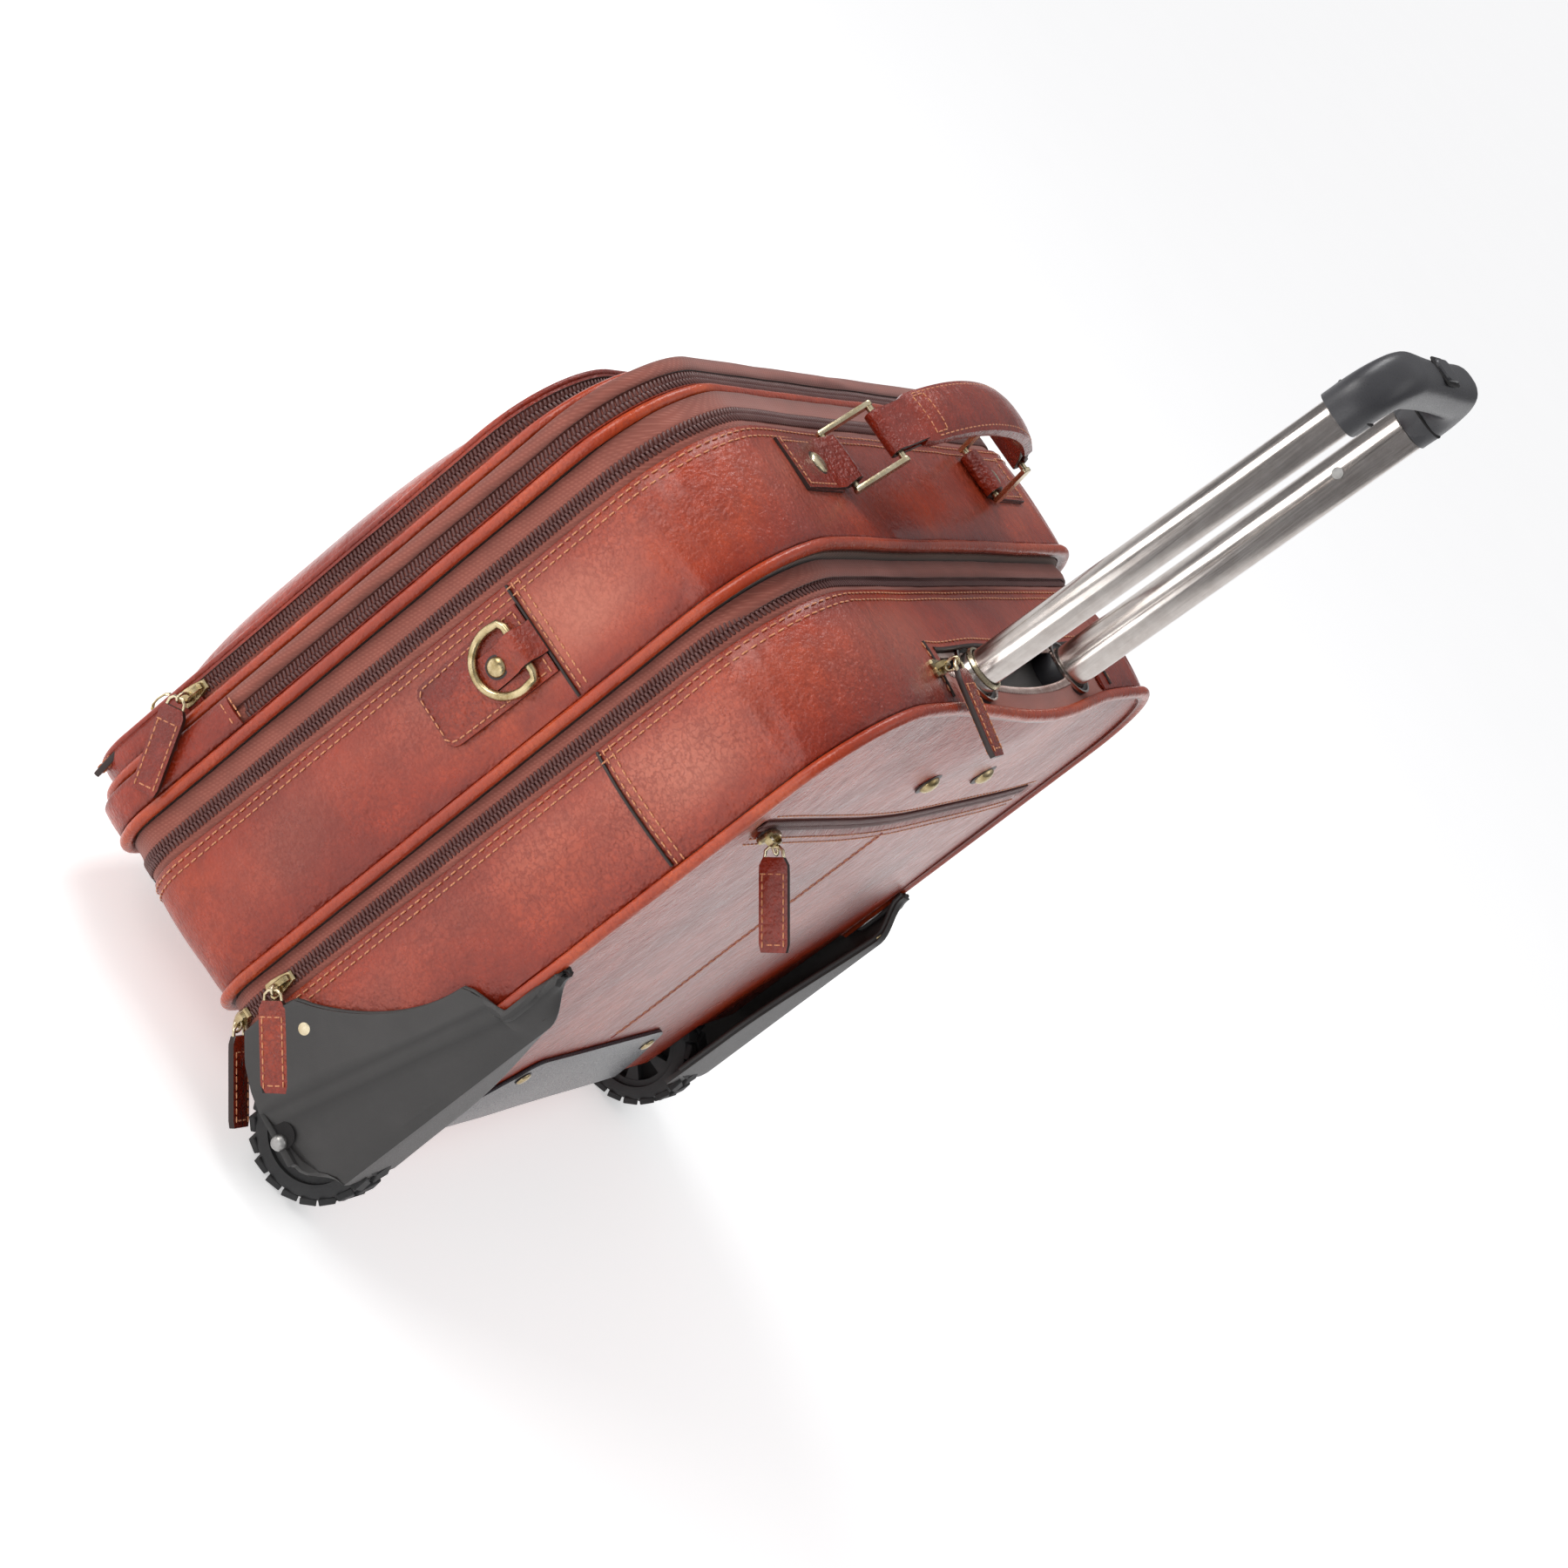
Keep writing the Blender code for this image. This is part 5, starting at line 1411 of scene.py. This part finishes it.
def on_trolley(x, along, out=0.0):
    """A point of the trolley: x across, along its tubes from the case's top, out towards the back."""
    back_way = Vector((0.0, math.cos(LEAN), -math.sin(LEAN)))
    return TOP_AT + Vector((x, 0, 0)) + TUBE_AXIS * along + back_way * out


def stage(name, side, start, end, radii, body, node):
    """One tube of the trolley, with softened rims at both ends."""
    radius, bore = radii
    lip = 0.0006
    profile = [(radius - lip, start), (radius, start + lip), (radius, end - lip), (radius - lip * 0.5, end),
               (bore + lip * 0.3, end), (bore, end - lip), (bore, start + lip), (bore + lip * 0.3, start)]
    return place(on_tube(name, profile, side, STEEL, 72), body, (node,))


TRAVEL, STAGE_LENGTH = 0.2, 0.337
GRIP_LOW, GRIP_HIGH = 0.2, 0.24
TUBE_FOOT = 0.017 - BODY_H
FIXED_TUBE, MIDDLE_TUBE, INNER_TUBE = (0.0128, 0.0118), (0.0112, 0.01), (0.0093, 0.0081)    # radius and bore


def on_tube(name, profile, side, material, segments=48):
    """A piece turned about one of the tubes' axes."""
    return turned(name, profile, TOP_AT + Vector((side * TUBE_X, 0, 0)), TUBE_AXIS, material, segments)


def trolley():
    middle_top = GRIP_LOW - 0.0006 - TRAVEL
    inner_end = GRIP_LOW - 0.0004
    for side, tag, out in ((1, "right", 0.0), (-1, "left", TRAVEL)):
        stage("fixed_tube_" + tag, side, TUBE_FOOT, -0.063, FIXED_TUBE, "root", "trolley_outer_tube_" + tag)
        stage("middle_tube_" + tag, side, TUBE_FOOT + 0.002 + out, middle_top + out, MIDDLE_TUBE,
              "middle_stage_" + tag, "trolley_middle_tube_" + tag)
        stage("inner_tube_" + tag, side, inner_end - STAGE_LENGTH, inner_end, INNER_TUBE, "grip_stage",
              "trolley_inner_tube_" + tag)
        if out == 0.0:
            cut = [(0.0101, -0.0022), (0.0114, -0.0022), (0.0117, -0.0012), (0.0113, 0.0002),
                   (0.0101, 0.0002)]
            ring = on_tube("middle_tube_ring_" + tag, [(r, middle_top + rise) for r, rise in cut], side,
                           PALE_BRASS, 64)
            place(ring, "middle_stage_" + tag)
        collar = on_tube("tube_collar_" + tag, [(0.0122, -0.018), (0.015, -0.018), (0.015, -0.0075),
                                                (0.0142, -0.0062), (0.0122, -0.0062)], side, SATIN)
        trim = on_tube("tube_collar_trim_" + tag, [(0.0142, -0.0066), (0.0153, -0.0066), (0.0153, -0.005),
                                                   (0.0142, -0.005)], side, STEEL)
        place(combined("tube_collar_" + tag, [collar, trim]), "root")


def superellipse(half_u, half_v, power, sides):
    out = []
    for k in range(sides):
        a = 2.0 * math.pi * k / sides
        c, s = math.cos(a), math.sin(a)
        out.append((half_u * math.copysign(abs(c) ** (2.0 / power), c),
                    half_v * math.copysign(abs(s) ** (2.0 / power), s)))
    return out


BAR_MID = (GRIP_LOW + GRIP_HIGH) / 2.0 + 0.0085     # the middle line of the grip's bar


def grip_bar():
    """One rounded bar bent over both tubes, with a sleeve on each and, at the sleeve's top, a parting line
    drawn as a thin ring of painted shade.
    """
    corner = 0.02
    half_span = TUBE_X + 0.001
    path = [(half_span, GRIP_LOW - 0.0002), (half_span, GRIP_LOW + 0.004)]
    path += arc((half_span - corner, BAR_MID - corner), (corner, corner), 0.0, 90.0, 10)
    path += [(half_span - corner - (half_span - corner) * i / 8.0, BAR_MID) for i in range(1, 9)]
    path += [(-x, h) for x, h in reversed(path[:-1])]
    verts = []
    sides = 32
    count = len(path)
    for i, (x, h) in enumerate(path):
        before, after = path[max(i - 1, 0)], path[min(i + 1, count - 1)]
        along = Vector((after[0] - before[0], after[1] - before[1])).normalized()
        normal = Vector((-along.y, along.x))
        t = min(i, count - 1 - i) / (count / 2.0)
        half_deep = 0.0118 - 0.001 * smoothstep(0.5, 1.0, t)
        half_high = 0.0122 - 0.0012 * smoothstep(0.45, 0.9, t)
        for u, v in superellipse(half_deep, half_high, 2.6, sides):
            verts.append(on_trolley(x + normal.x * v, h + normal.y * v, u))
    faces = quads(count, sides) + caps(count, sides)
    place(mesh_object("grip_bar", verts, faces, [SATIN]), "grip_stage", ("trolley_grip",))
    for side, tag in SIDES:
        sleeve = [(0.0096, -0.0002), (0.0113, 0.0), (0.0121, 0.0012), (0.0124, 0.009), (0.0096, 0.01)]
        # the groove is a thin ring of painted shade, not a cut
        groove = [(0.0122, 0.0088), (0.01265, 0.009), (0.01265, 0.0097), (0.0122, 0.01)]
        for name, cut, look in (("grip_sleeve_", sleeve, SATIN), ("grip_groove_shade_", groove, PAINTED_SHADE_BLACK)):
            piece = on_tube(name + tag, [(r, GRIP_LOW + h) for r, h in cut], side, look)
            place(piece, "grip_stage")


def grip_button():
    """The push button on the bar's top, in a frame of near-black painted shade."""
    top = BAR_MID + 0.011
    axes = ((1, 0, 0), (0, math.cos(LEAN), -math.sin(LEAN)), TUBE_AXIS)
    frame_plate = extruded("grip_button_frame", rounded(0.015, 0.0082, 0.006), 0.0008, PAINTED_SHADE_BLACK, bevel=0.0003,
                           frame_axes=axes, centre=on_trolley(0.0, top - 0.0006))
    place(frame_plate, "grip_stage")
    button = extruded("grip_button_cap", rounded(0.0125, 0.0062, 0.0048), 0.0034, SATIN, bevel=0.0008,
                      frame_axes=axes, centre=on_trolley(0.0, top - 0.0016), crown=0.0005)
    place(button, "grip_button", ("grip_button",))


def rear_top(x, y):
    """The height of the rear gusset's full skin on top of the case."""
    t = min(max((y - REAR[0]) / (REAR[1] - REAR[0]), 0.0), 1.0)
    return REAR_H + LAP + 0.0004 + bulge(t) * gusset_swell(FULLNESS)(x, y, REAR_H)


def slot_back_row(x):
    """Where the slot's back row of teeth runs: close to the front at its ends, bowed back between."""
    return 0.056 + 0.0255 * max(math.cos(math.pi * x / 0.25), 0.0) ** 0.6


def slot_lip():
    """The bowed cloth between the slot's back row of teeth and the rear welt."""
    columns = 60
    reach = 0.113
    levels = ((0.0, -0.0034), (0.0, 0.0006), (0.12, 0.001), (0.4, -0.0002), (0.75, -0.001), (1.0, -0.0006),
              (1.0, -0.0034))
    verts = []
    for x in between(-reach, reach, columns):
        outer = relaxed(Vector((x, Y_WELT4 - 0.0026, REAR_H)))
        for t, z in levels:
            verts.append(Vector((x, slot_back_row(x) + (outer.y - slot_back_row(x)) * t, outer.z + z)))
    faces = quads(columns + 1, len(levels))
    place(mesh_object("slot_zip_lip", verts, faces, [TAPE]), "root")


def slot_teeth():
    """A bowed back row and a straight front row."""
    frames = []
    for row_of, tilt in ((slot_back_row, 1.0), (lambda x: 0.0562, -1.0)):
        x = -SLOT_END
        while x < SLOT_END:
            ahead = Vector((0.001, row_of(x + 0.001) - row_of(x), 0.0)).normalized()
            out = Vector((-ahead.y, ahead.x, 0.0)) * tilt
            frames.append((Vector((x, row_of(x) - tilt * 0.001, REAR_H + 0.0012)), out, Vector((0, 0, 1))))
            x += TOOTH_PITCH
    teeth = capsules("slot_zip_teeth", frames, TOOTH, TOOTH_R, SLOT_TEETH, 0.9, False)
    place(teeth, "root")


def slot_edges():
    """Painted edges along the slot's front and ends, with the stitching beside them."""
    front = [relaxed(Vector((x, 0.0551, rear_top(x, 0.0551) - 0.0006)))
             for x in between(-SLOT_END, SLOT_END, 40)]
    seam_bar("slot_front_edge", "root", front, 0.0011, (0, 0, 1))
    reach, row_y = SLOT_END + 0.011, 0.0515
    line = [Vector((x, row_y, rear_top(x, row_y))) for x in between(-reach, reach, 40)]
    frames = path_stitches(line, (0, 0, 1))
    for side, tag in SIDES:
        x = side * reach
        column = between(row_y, row_y + 0.029, 8)
        frames += path_stitches([Vector((x + side * 0.0022, y, rear_top(x, y))) for y in column], (0, 0, 1))
        cut = [relaxed(Vector((x, y, rear_top(x, y) - 0.0002))) for y in column]
        seam_bar("slot_end_edge_" + tag, "root", cut, 0.0009, (0, 0, 1))
    stitches("slot_stitches", frames, "root")


# ---------------------------------------------------------------- back hardware, feet, running gear


def draped(obj, lift):
    """Lay a flat piece made on the plane of the back onto the panel's real face."""
    for vert in obj.data.vertices:
        x, y, z = vert.co
        vert.co = relaxed(Vector((x, y - Y_BACK + back_y(x, z) + lift, z)))
    return obj


def back_hardware():
    half, height = 0.07, 0.061
    outline = [(-0.12, 0.001), (0.12, 0.001), (0.108, 0.018), (0.088, 0.044)]
    corner_r = 0.018
    outline += arc((half - 0.004, height - corner_r), (corner_r, corner_r), 20.0, 90.0, 5)
    outline += [(-u, v) for u, v in reversed(outline[2:])]
    axes = ((1, 0, 0), (0, 0, 1), (0, 1, 0))
    dense = []
    for a, b in zip(outline, outline[1:] + outline[:1]):
        dense += [(a[0] + (b[0] - a[0]) * k / 6.0, a[1] + (b[1] - a[1]) * k / 6.0) for k in range(6)]
    plate = extruded("bumper_plate", dense, 0.0018, BUMPER, bevel=0.0005, frame_axes=axes,
                     centre=(0, Y_BACK, 0), crown=0.0006, rings=8)
    place(draped(plate, 0.0004), "root", ("bottom_bumper",))
    for side, tag in SIDES:
        for name, x, z, lift, *shape in (
                ("bumper_rivet_", 0.073, 0.048, 0.0024, 0.0042, 0.0018, BRASS, 0.0006),
                ("back_stud_", 0.04, 0.295, 0.0, 0.0056, 0.004, BRASS, 0.0022)):
            at = relaxed(Vector((side * x, back_y(side * x, z) + lift, z)))
            stud(name + tag, "root", at, (0, 1, 0), *shape)


FOOT_Y = -0.09


def feet():
    parts = []
    for side in (1, -1):
        profile = [(0.0002, -0.035), (0.0092, -0.035), (0.0103, -0.0338), (0.0108, -0.03), (0.0112, -0.012),
                   (0.0128, -0.006), (0.0128, -0.0042), (0.0002, -0.0042)]
        parts.append(turned("foot", profile, (side * 0.12, FOOT_Y, 0.0), (0, 0, 1), RUBBER, 40))
    bar = extruded("foot_bar", rounded(0.14, 0.0065, 0.005, (0.0, FOOT_Y)), 0.001, GUARD, bevel=0.0003,
                   centre=(0, 0, -0.0044))
    place(combined("front_feet_pads", parts + [bar]), "pocket_section", ("front_feet",))


AXLE_Y, AXLE_Z = 0.0725, -0.001
WHEEL_X, WHEEL_R, WHEEL_W = 0.18, 0.034, 0.024


def round_axle(angle):
    """The outward and the forward direction at an angle round the axle."""
    return Vector((0.0, math.cos(angle), math.sin(angle))), Vector((0.0, -math.sin(angle), math.cos(angle)))


def tyre(side, tag):
    """A treaded ring with two rows of slanting lugs, half a pitch apart."""
    half = WHEEL_W / 2.0
    base = WHEEL_R - 0.0022
    centre = Vector((side * WHEEL_X, AXLE_Y, AXLE_Z))
    half_tread = [(0.024, half - 0.0006), (base - 0.004, half), (base - 0.0012, half - 0.0012),
                  (base, half - 0.004)]
    tread = [(r, -x) for r, x in half_tread] + half_tread[::-1]
    parts = [turned("tread", tread, centre, (1, 0, 0), RUBBER, 72)]
    lugs = 20
    shape = [(-0.0056, -0.003), (0.0056, -0.004), (0.0056, 0.004), (-0.0056, 0.003)]
    for row in (-1, 1):
        for k in range(lugs):
            out, forward = round_axle(2.0 * math.pi * (k + (0.5 if row > 0 else 0.0)) / lugs)
            lean = (Vector((1, 0, 0)) + forward * 0.42 * row).normalized()
            lug_at = centre + Vector((row * 0.0062, 0, 0)) + out * (WHEEL_R - 0.0036)
            parts.append(extruded("lug", shape, 0.0034, RUBBER, bevel=0.0005,
                                  frame_axes=(lean * row, lean.cross(out) * row, out), centre=lug_at))
    place(combined("tyre_tread_" + tag, parts), "wheel_" + tag, ("tyre_" + tag,))


def hub(side, tag):
    """A rim, a boss and a web between them in near-black painted shade, crossed by six flared spokes."""
    half = WHEEL_W / 2.0 - 0.003
    centre = Vector((side * WHEEL_X, AXLE_Y, AXLE_Z))
    parts = []
    for name, inner, outer, deep, look, segments in (("rim", 0.0205, 0.0238, half, RUBBER, 64),
                                                     ("boss", 0.0036, 0.0075, half, GUARD, 40),
                                                     ("web", 0.005, 0.0215, 0.002, PAINTED_SHADE_BLACK, 48)):
        ring = [(inner, -deep), (outer, -deep), (outer, deep), (inner, deep)]
        parts.append(turned(name, ring, centre, (1, 0, 0), look, segments))
    half_spoke = [(0.006, 0.003), (0.012, 0.0024), (0.0215, 0.0046)]
    spoke = [(r, -x) for r, x in half_spoke] + half_spoke[::-1]
    for k in range(6):
        out, forward = round_axle(math.radians(60.0 * k + 15.0))
        parts.append(extruded("spoke", spoke, half * 2.0 - 0.001, RUBBER, bevel=0.0006,
                              frame_axes=(out, forward, (1, 0, 0)),
                              centre=centre - Vector((half - 0.0005, 0, 0))))
    place(combined("hub_wheel_" + tag, parts), "wheel_" + tag, ("hub_" + tag,))


def wheels():
    for side, tag in SIDES:
        tyre(side, tag)
        hub(side, tag)
        guard(side, tag)


GUARD_OUT = 0.0009        # the moulded shell's stand-off from the plain guard in the frame
GUARD_SIDE = high("wheel_guard_right", 0) + GUARD_OUT
GUARD_BACK = high("wheel_guard_right", 1) + GUARD_OUT
GUARD_FOOT, GUARD_TOP = -0.0028, 0.164
NOTCH = 0.1235            # where the side wall ends and the back arm goes on alone


def guard_front(z):
    """The side wall's front edge by height: upright low down, then a long sweep back to its corner."""
    low_edge = ((-0.003, 0.086), (-0.0018, 0.07), (0.0, 0.0505), (0.007, 0.0336), (0.0157, 0.0218),
                (0.03, 0.0213), (0.0468, 0.0252))
    for (z0, y0), (z1, y1) in zip(low_edge, low_edge[1:]):
        if z < z1:
            return y0 + (y1 - y0) * max((z - z0) / (z1 - z0), 0.0)
    t = (z - 0.0468) / (NOTCH - 0.001 - 0.0468)
    return 0.0252 + 0.0432 * math.sin(math.pi / 2.0 * min(t, 1.0)) ** 0.8


def guard_inner(z):
    """The back arm's inner edge: it leans outward to a narrow tip."""
    return 0.1575 + 0.0035 * smoothstep(0.0, 0.05, z) + 0.052 * smoothstep(0.045, 0.168, z) ** 1.15


def guard_profile(z):
    """The shell's cut at one height: flat wall, two slanting facets, then the arm on the back."""
    rise = min(max(z / NOTCH, 0.0), 1.0)
    tip = smoothstep(GUARD_TOP - 0.026, GUARD_TOP - 0.002, z)
    past = smoothstep(NOTCH - 0.004, NOTCH + 0.007, z)
    front = guard_front(z) + (0.0897 - guard_front(z)) * past
    first = max(0.056 + 0.025 * rise, front + 0.001)
    second = max(0.064 + 0.025 * rise, first + 0.001)
    ridge = GUARD_BACK + (0.0905 - GUARD_BACK) * tip
    return [(GUARD_SIDE - 0.0012 * past - 0.006 * tip, front),
            (GUARD_SIDE - 0.0004 * past - 0.004 * tip, first),
            (GUARD_SIDE - 0.0022 - 0.001 * tip, min(second, ridge)),
            (GUARD_SIDE - 0.0125 + 0.006 * tip, ridge),
            (min(guard_inner(z), GUARD_SIDE - 0.01), ridge - 0.0016)]


def guard_shell(side, tag):
    """The moulded shell, from its cuts height by height; its facets' edges carry a little painted shade."""
    rows, columns = 72, 32
    marks = (0.0, 0.4, 0.5, 0.68, 1.0)
    verts, shade = [], []
    for z in between(GUARD_FOOT, GUARD_TOP, rows):
        corner = guard_profile(z)
        for due in between(0.0, 1.0, columns):
            k = max(n for n in range(4) if due >= marks[n] - 1e-9)
            t = (due - marks[k]) / (marks[k + 1] - marks[k])
            x = corner[k][0] + (corner[k + 1][0] - corner[k][0]) * t
            y = corner[k][1] + (corner[k + 1][1] - corner[k][1]) * t
            lift = 0.01 * smoothstep(0.088, 0.101, y) * smoothstep(0.02, -0.004, z)
            verts.append(Vector((side * x, y, z + lift)))
            # painted shade along the facets' edges
            from_edge = min(abs(due - marks[1]), abs(due - marks[2]))
            shade.append(0.55 * (1.0 - smoothstep(0.0, 0.05, from_edge)))
    faces = quads(rows + 1, columns + 1, around=False)
    shell = mesh_object("guard_shell_" + tag, verts, faces, [GUARD], shade=shade, smooth_angle=14.0)
    thick = shell.modifiers.new("thickness", "SOLIDIFY")
    thick.thickness = 0.0026
    thick.offset = -1.0
    soften = shell.modifiers.new("soften", "BEVEL")
    soften.width = 0.0009
    soften.segments = 3
    soften.limit_method = "ANGLE"
    soften.angle_limit = math.radians(50.0)
    place(shell, "root", ("wheel_guard_" + tag,))


def guard_ridges(side, tag):
    """A rolled lip round the shell's edge and three ribs up its arm."""
    lip = []
    for z in between(GUARD_FOOT, GUARD_TOP, 72):
        if z > 0.03:
            x, y = guard_profile(z)[0]
            lip.append(Vector((side * (x - 0.0006), y + 0.0004, z)))
    lip += [Vector((side * x, y, GUARD_TOP - 0.0006)) for x, y in guard_profile(GUARD_TOP)[2:]]
    for z in between(0.158, 0.018, 35):
        x, y = guard_profile(z)[4]
        lip.append(Vector((side * x, y, z)))
    bars = [tube_along("lip", lip, 0.0014, GUARD, sides=10, flat=(1, 0, 0))]
    for k, inset in enumerate((0.0046, 0.0088, 0.013)):
        line = []
        for z in between(0.014, 0.136 - 0.012 * k, 29):
            (ridge_x, ridge_y), (inner_x, inner_y) = guard_profile(z)[3:]
            t = min(inset / max(ridge_x - inner_x, 0.001), 1.0)
            line.append(Vector((side * (inner_x + inset), inner_y + (ridge_y - inner_y) * t, z)))
        bars.append(tube_along("ridge", line, 0.0012, BUMPER, sides=8, flat=(0, 1, 0)))
    place(combined("guard_ridges_" + tag, bars), "root")


def guard(side, tag):
    """A moulded shell with its lip and ribs, two rivets and the axle's end."""
    guard_shell(side, tag)
    guard_ridges(side, tag)
    outward = (side, 0, 0)
    stud("guard_rivet_" + tag, "root", (side * GUARD_SIDE, 0.0382, 0.0424), outward, 0.0054, 0.003,
         PALE_BRASS, 0.0011)
    stud("guard_tip_rivet_" + tag, "root", (side * 0.2085, GUARD_BACK - 0.0014, 0.14), (0, 1, 0), 0.0042,
         0.0022, BRASS, 0.0008)
    # a thin disc of painted shade where the axle's recess is
    recess_shade = turned("axle_recess_shade_" + tag, [(0.0002, 0.0), (0.0066, 0.0), (0.0066, 0.0006), (0.0002, 0.0006)],
                  (side * (GUARD_SIDE - 0.0002), AXLE_Y - 0.0022, AXLE_Z + 0.0032), outward, PAINTED_SHADE_BLACK, 32)
    place(recess_shade, "root")
    bolt = dome("axle_bolt_" + tag, (side * (GUARD_SIDE + 0.0001), AXLE_Y, AXLE_Z + 0.0002), outward, 0.004,
                0.0042, ZINC)
    place(bolt, "root")


def carve(obj, low_corner, high_corner):
    """Cut a box out of a piece before it is placed."""
    cage = bmesh.new()
    bmesh.ops.create_cube(cage, size=1.0)
    low_corner, high_corner = Vector(low_corner), Vector(high_corner)
    bmesh.ops.scale(cage, vec=high_corner - low_corner, verts=cage.verts)
    bmesh.ops.translate(cage, vec=(high_corner + low_corner) / 2.0, verts=cage.verts)
    mesh = bpy.data.meshes.new("cutter")
    cage.to_mesh(mesh)
    cage.free()
    cutter = bpy.data.objects.new("cutter", mesh)
    for item in (obj, cutter):
        bpy.context.scene.collection.objects.link(item)
    step = obj.modifiers.new("carve", "BOOLEAN")
    step.operation = "DIFFERENCE"
    step.solver = "EXACT"
    step.object = cutter
    bpy.context.view_layer.update()
    carved = bpy.data.meshes.new_from_object(obj.evaluated_get(bpy.context.evaluated_depsgraph_get()))
    obj.modifiers.clear()
    obj.data = carved
    bpy.data.objects.remove(cutter, do_unlink=True)
    bpy.context.scene.collection.objects.unlink(obj)
    return obj


def plain_nodes():
    """CAD nodes whose shape is right keep it and get a finish of their own."""
    looks = {"axle_right": ZINC, "axle_left": ZINC, "detent_button": ZINC, "trolley_base": GUARD,
             "trolley_top_bracket": GUARD}
    for name, look in looks.items():
        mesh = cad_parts[name].data
        mesh.materials.clear()
        mesh.materials.append(look)


# ---------------------------------------------------------------- stage, light, camera


def softbox(name, where, target, size, power, colour=(1.0, 1.0, 1.0)):
    """A rectangular soft light that looks at its target."""
    data = bpy.data.lights.new(name, "AREA")
    data.shape = "RECTANGLE"
    data.size, data.size_y = size
    data.energy = power
    data.color = colour
    obj = bpy.data.objects.new(name, data)
    bpy.context.scene.collection.objects.link(obj)
    obj.location = where
    obj.rotation_euler = (Vector(target) - Vector(where)).to_track_quat("-Z", "Y").to_euler()


EYE_FROM_CASE = Vector((1.673, 0.369, 0.828))      # the camera, in the case's own frame
RIGHT = Vector((-0.3785, 0.5505, 0.7441))
AHEAD = Vector((-0.9242, -0.1812, -0.336))


def camera():
    ahead = AHEAD.normalized()
    right = (RIGHT - ahead * RIGHT.dot(ahead)).normalized()
    up = right.cross(ahead)
    data = bpy.data.cameras.new("camera")
    data.lens = 84.0
    data.sensor_width = 36.0
    data.clip_start = 0.05
    obj = bpy.data.objects.new("camera", data)
    bpy.context.scene.collection.objects.link(obj)
    turn = Matrix((right, up, -ahead)).transposed().to_4x4()
    obj.matrix_world = Matrix.Translation(EYE_FROM_CASE + SHIFT) @ turn
    bpy.context.scene.camera = obj
    return right, up, ahead


def studio():
    right, up, ahead = camera()
    half = 60.0
    floor_material, tree, shader, coords = blank("pale_floor", (0.88, 0.88, 0.88), 0.75)
    tree.links.new(mix(tree, noise_of(tree, coords, 5.0), (0.87, 0.87, 0.87), (0.9, 0.9, 0.9)),
                   shader.inputs["Base Color"])
    floor = mesh_object("floor", [(-half, -half, 0), (half, -half, 0), (half, half, 0), (-half, half, 0)],
                        [(0, 1, 2, 3)], [floor_material])
    shader.inputs["Emission Color"].default_value = (1.0, 1.0, 1.0, 1.0)
    shader.inputs["Emission Strength"].default_value = 0.46
    bpy.context.scene.collection.objects.link(floor)
    centre = SHIFT + Vector((0.0, 0.0, 0.2))
    toward = -ahead
    key_at = centre + toward * 1.3 + up * 1.3 - right * 0.7
    softbox("key", key_at, centre, (1.0, 0.7), 15.0, (1.0, 0.98, 0.96))
    softbox("top_strip", centre + up * 1.7 + right * 0.4 + toward * 0.2, centre, (1.4, 0.4), 13.0)
    softbox("side_fill", centre + toward * 0.7 + right * 1.7, centre, (0.8, 1.2), 2.5)
    softbox("side_sheen", centre + Vector((1.5, 0.25, 0.1)), centre, (0.9, 0.35), 2.6)
    world = bpy.data.worlds.new("studio")
    bpy.context.scene.world = world
    world.use_nodes = True
    tree = world.node_tree
    ray = tree.nodes.new("ShaderNodeTexCoord").outputs["Generated"]
    height = add(tree, "ShaderNodeSeparateXYZ", {"Vector": ray})
    sky = ramp(tree, height.outputs["Z"], [(0.0, (0.16, 0.16, 0.165)), (0.45, (0.3, 0.3, 0.31)),
                                           (0.85, (0.75, 0.75, 0.76))])
    tree.links.new(sky, tree.nodes["Background"].inputs["Color"])
    bpy.context.scene.view_settings.view_transform = "Standard"


main_sections()
folds()
slip_pocket()
front_pocket()
linings()
back()
zips()
d_rings()
carry_handle()
trolley()
grip_bar()
grip_button()
slot_lip()
slot_teeth()
slot_edges()
back_hardware()
feet()
wheels()
plain_nodes()
studio()
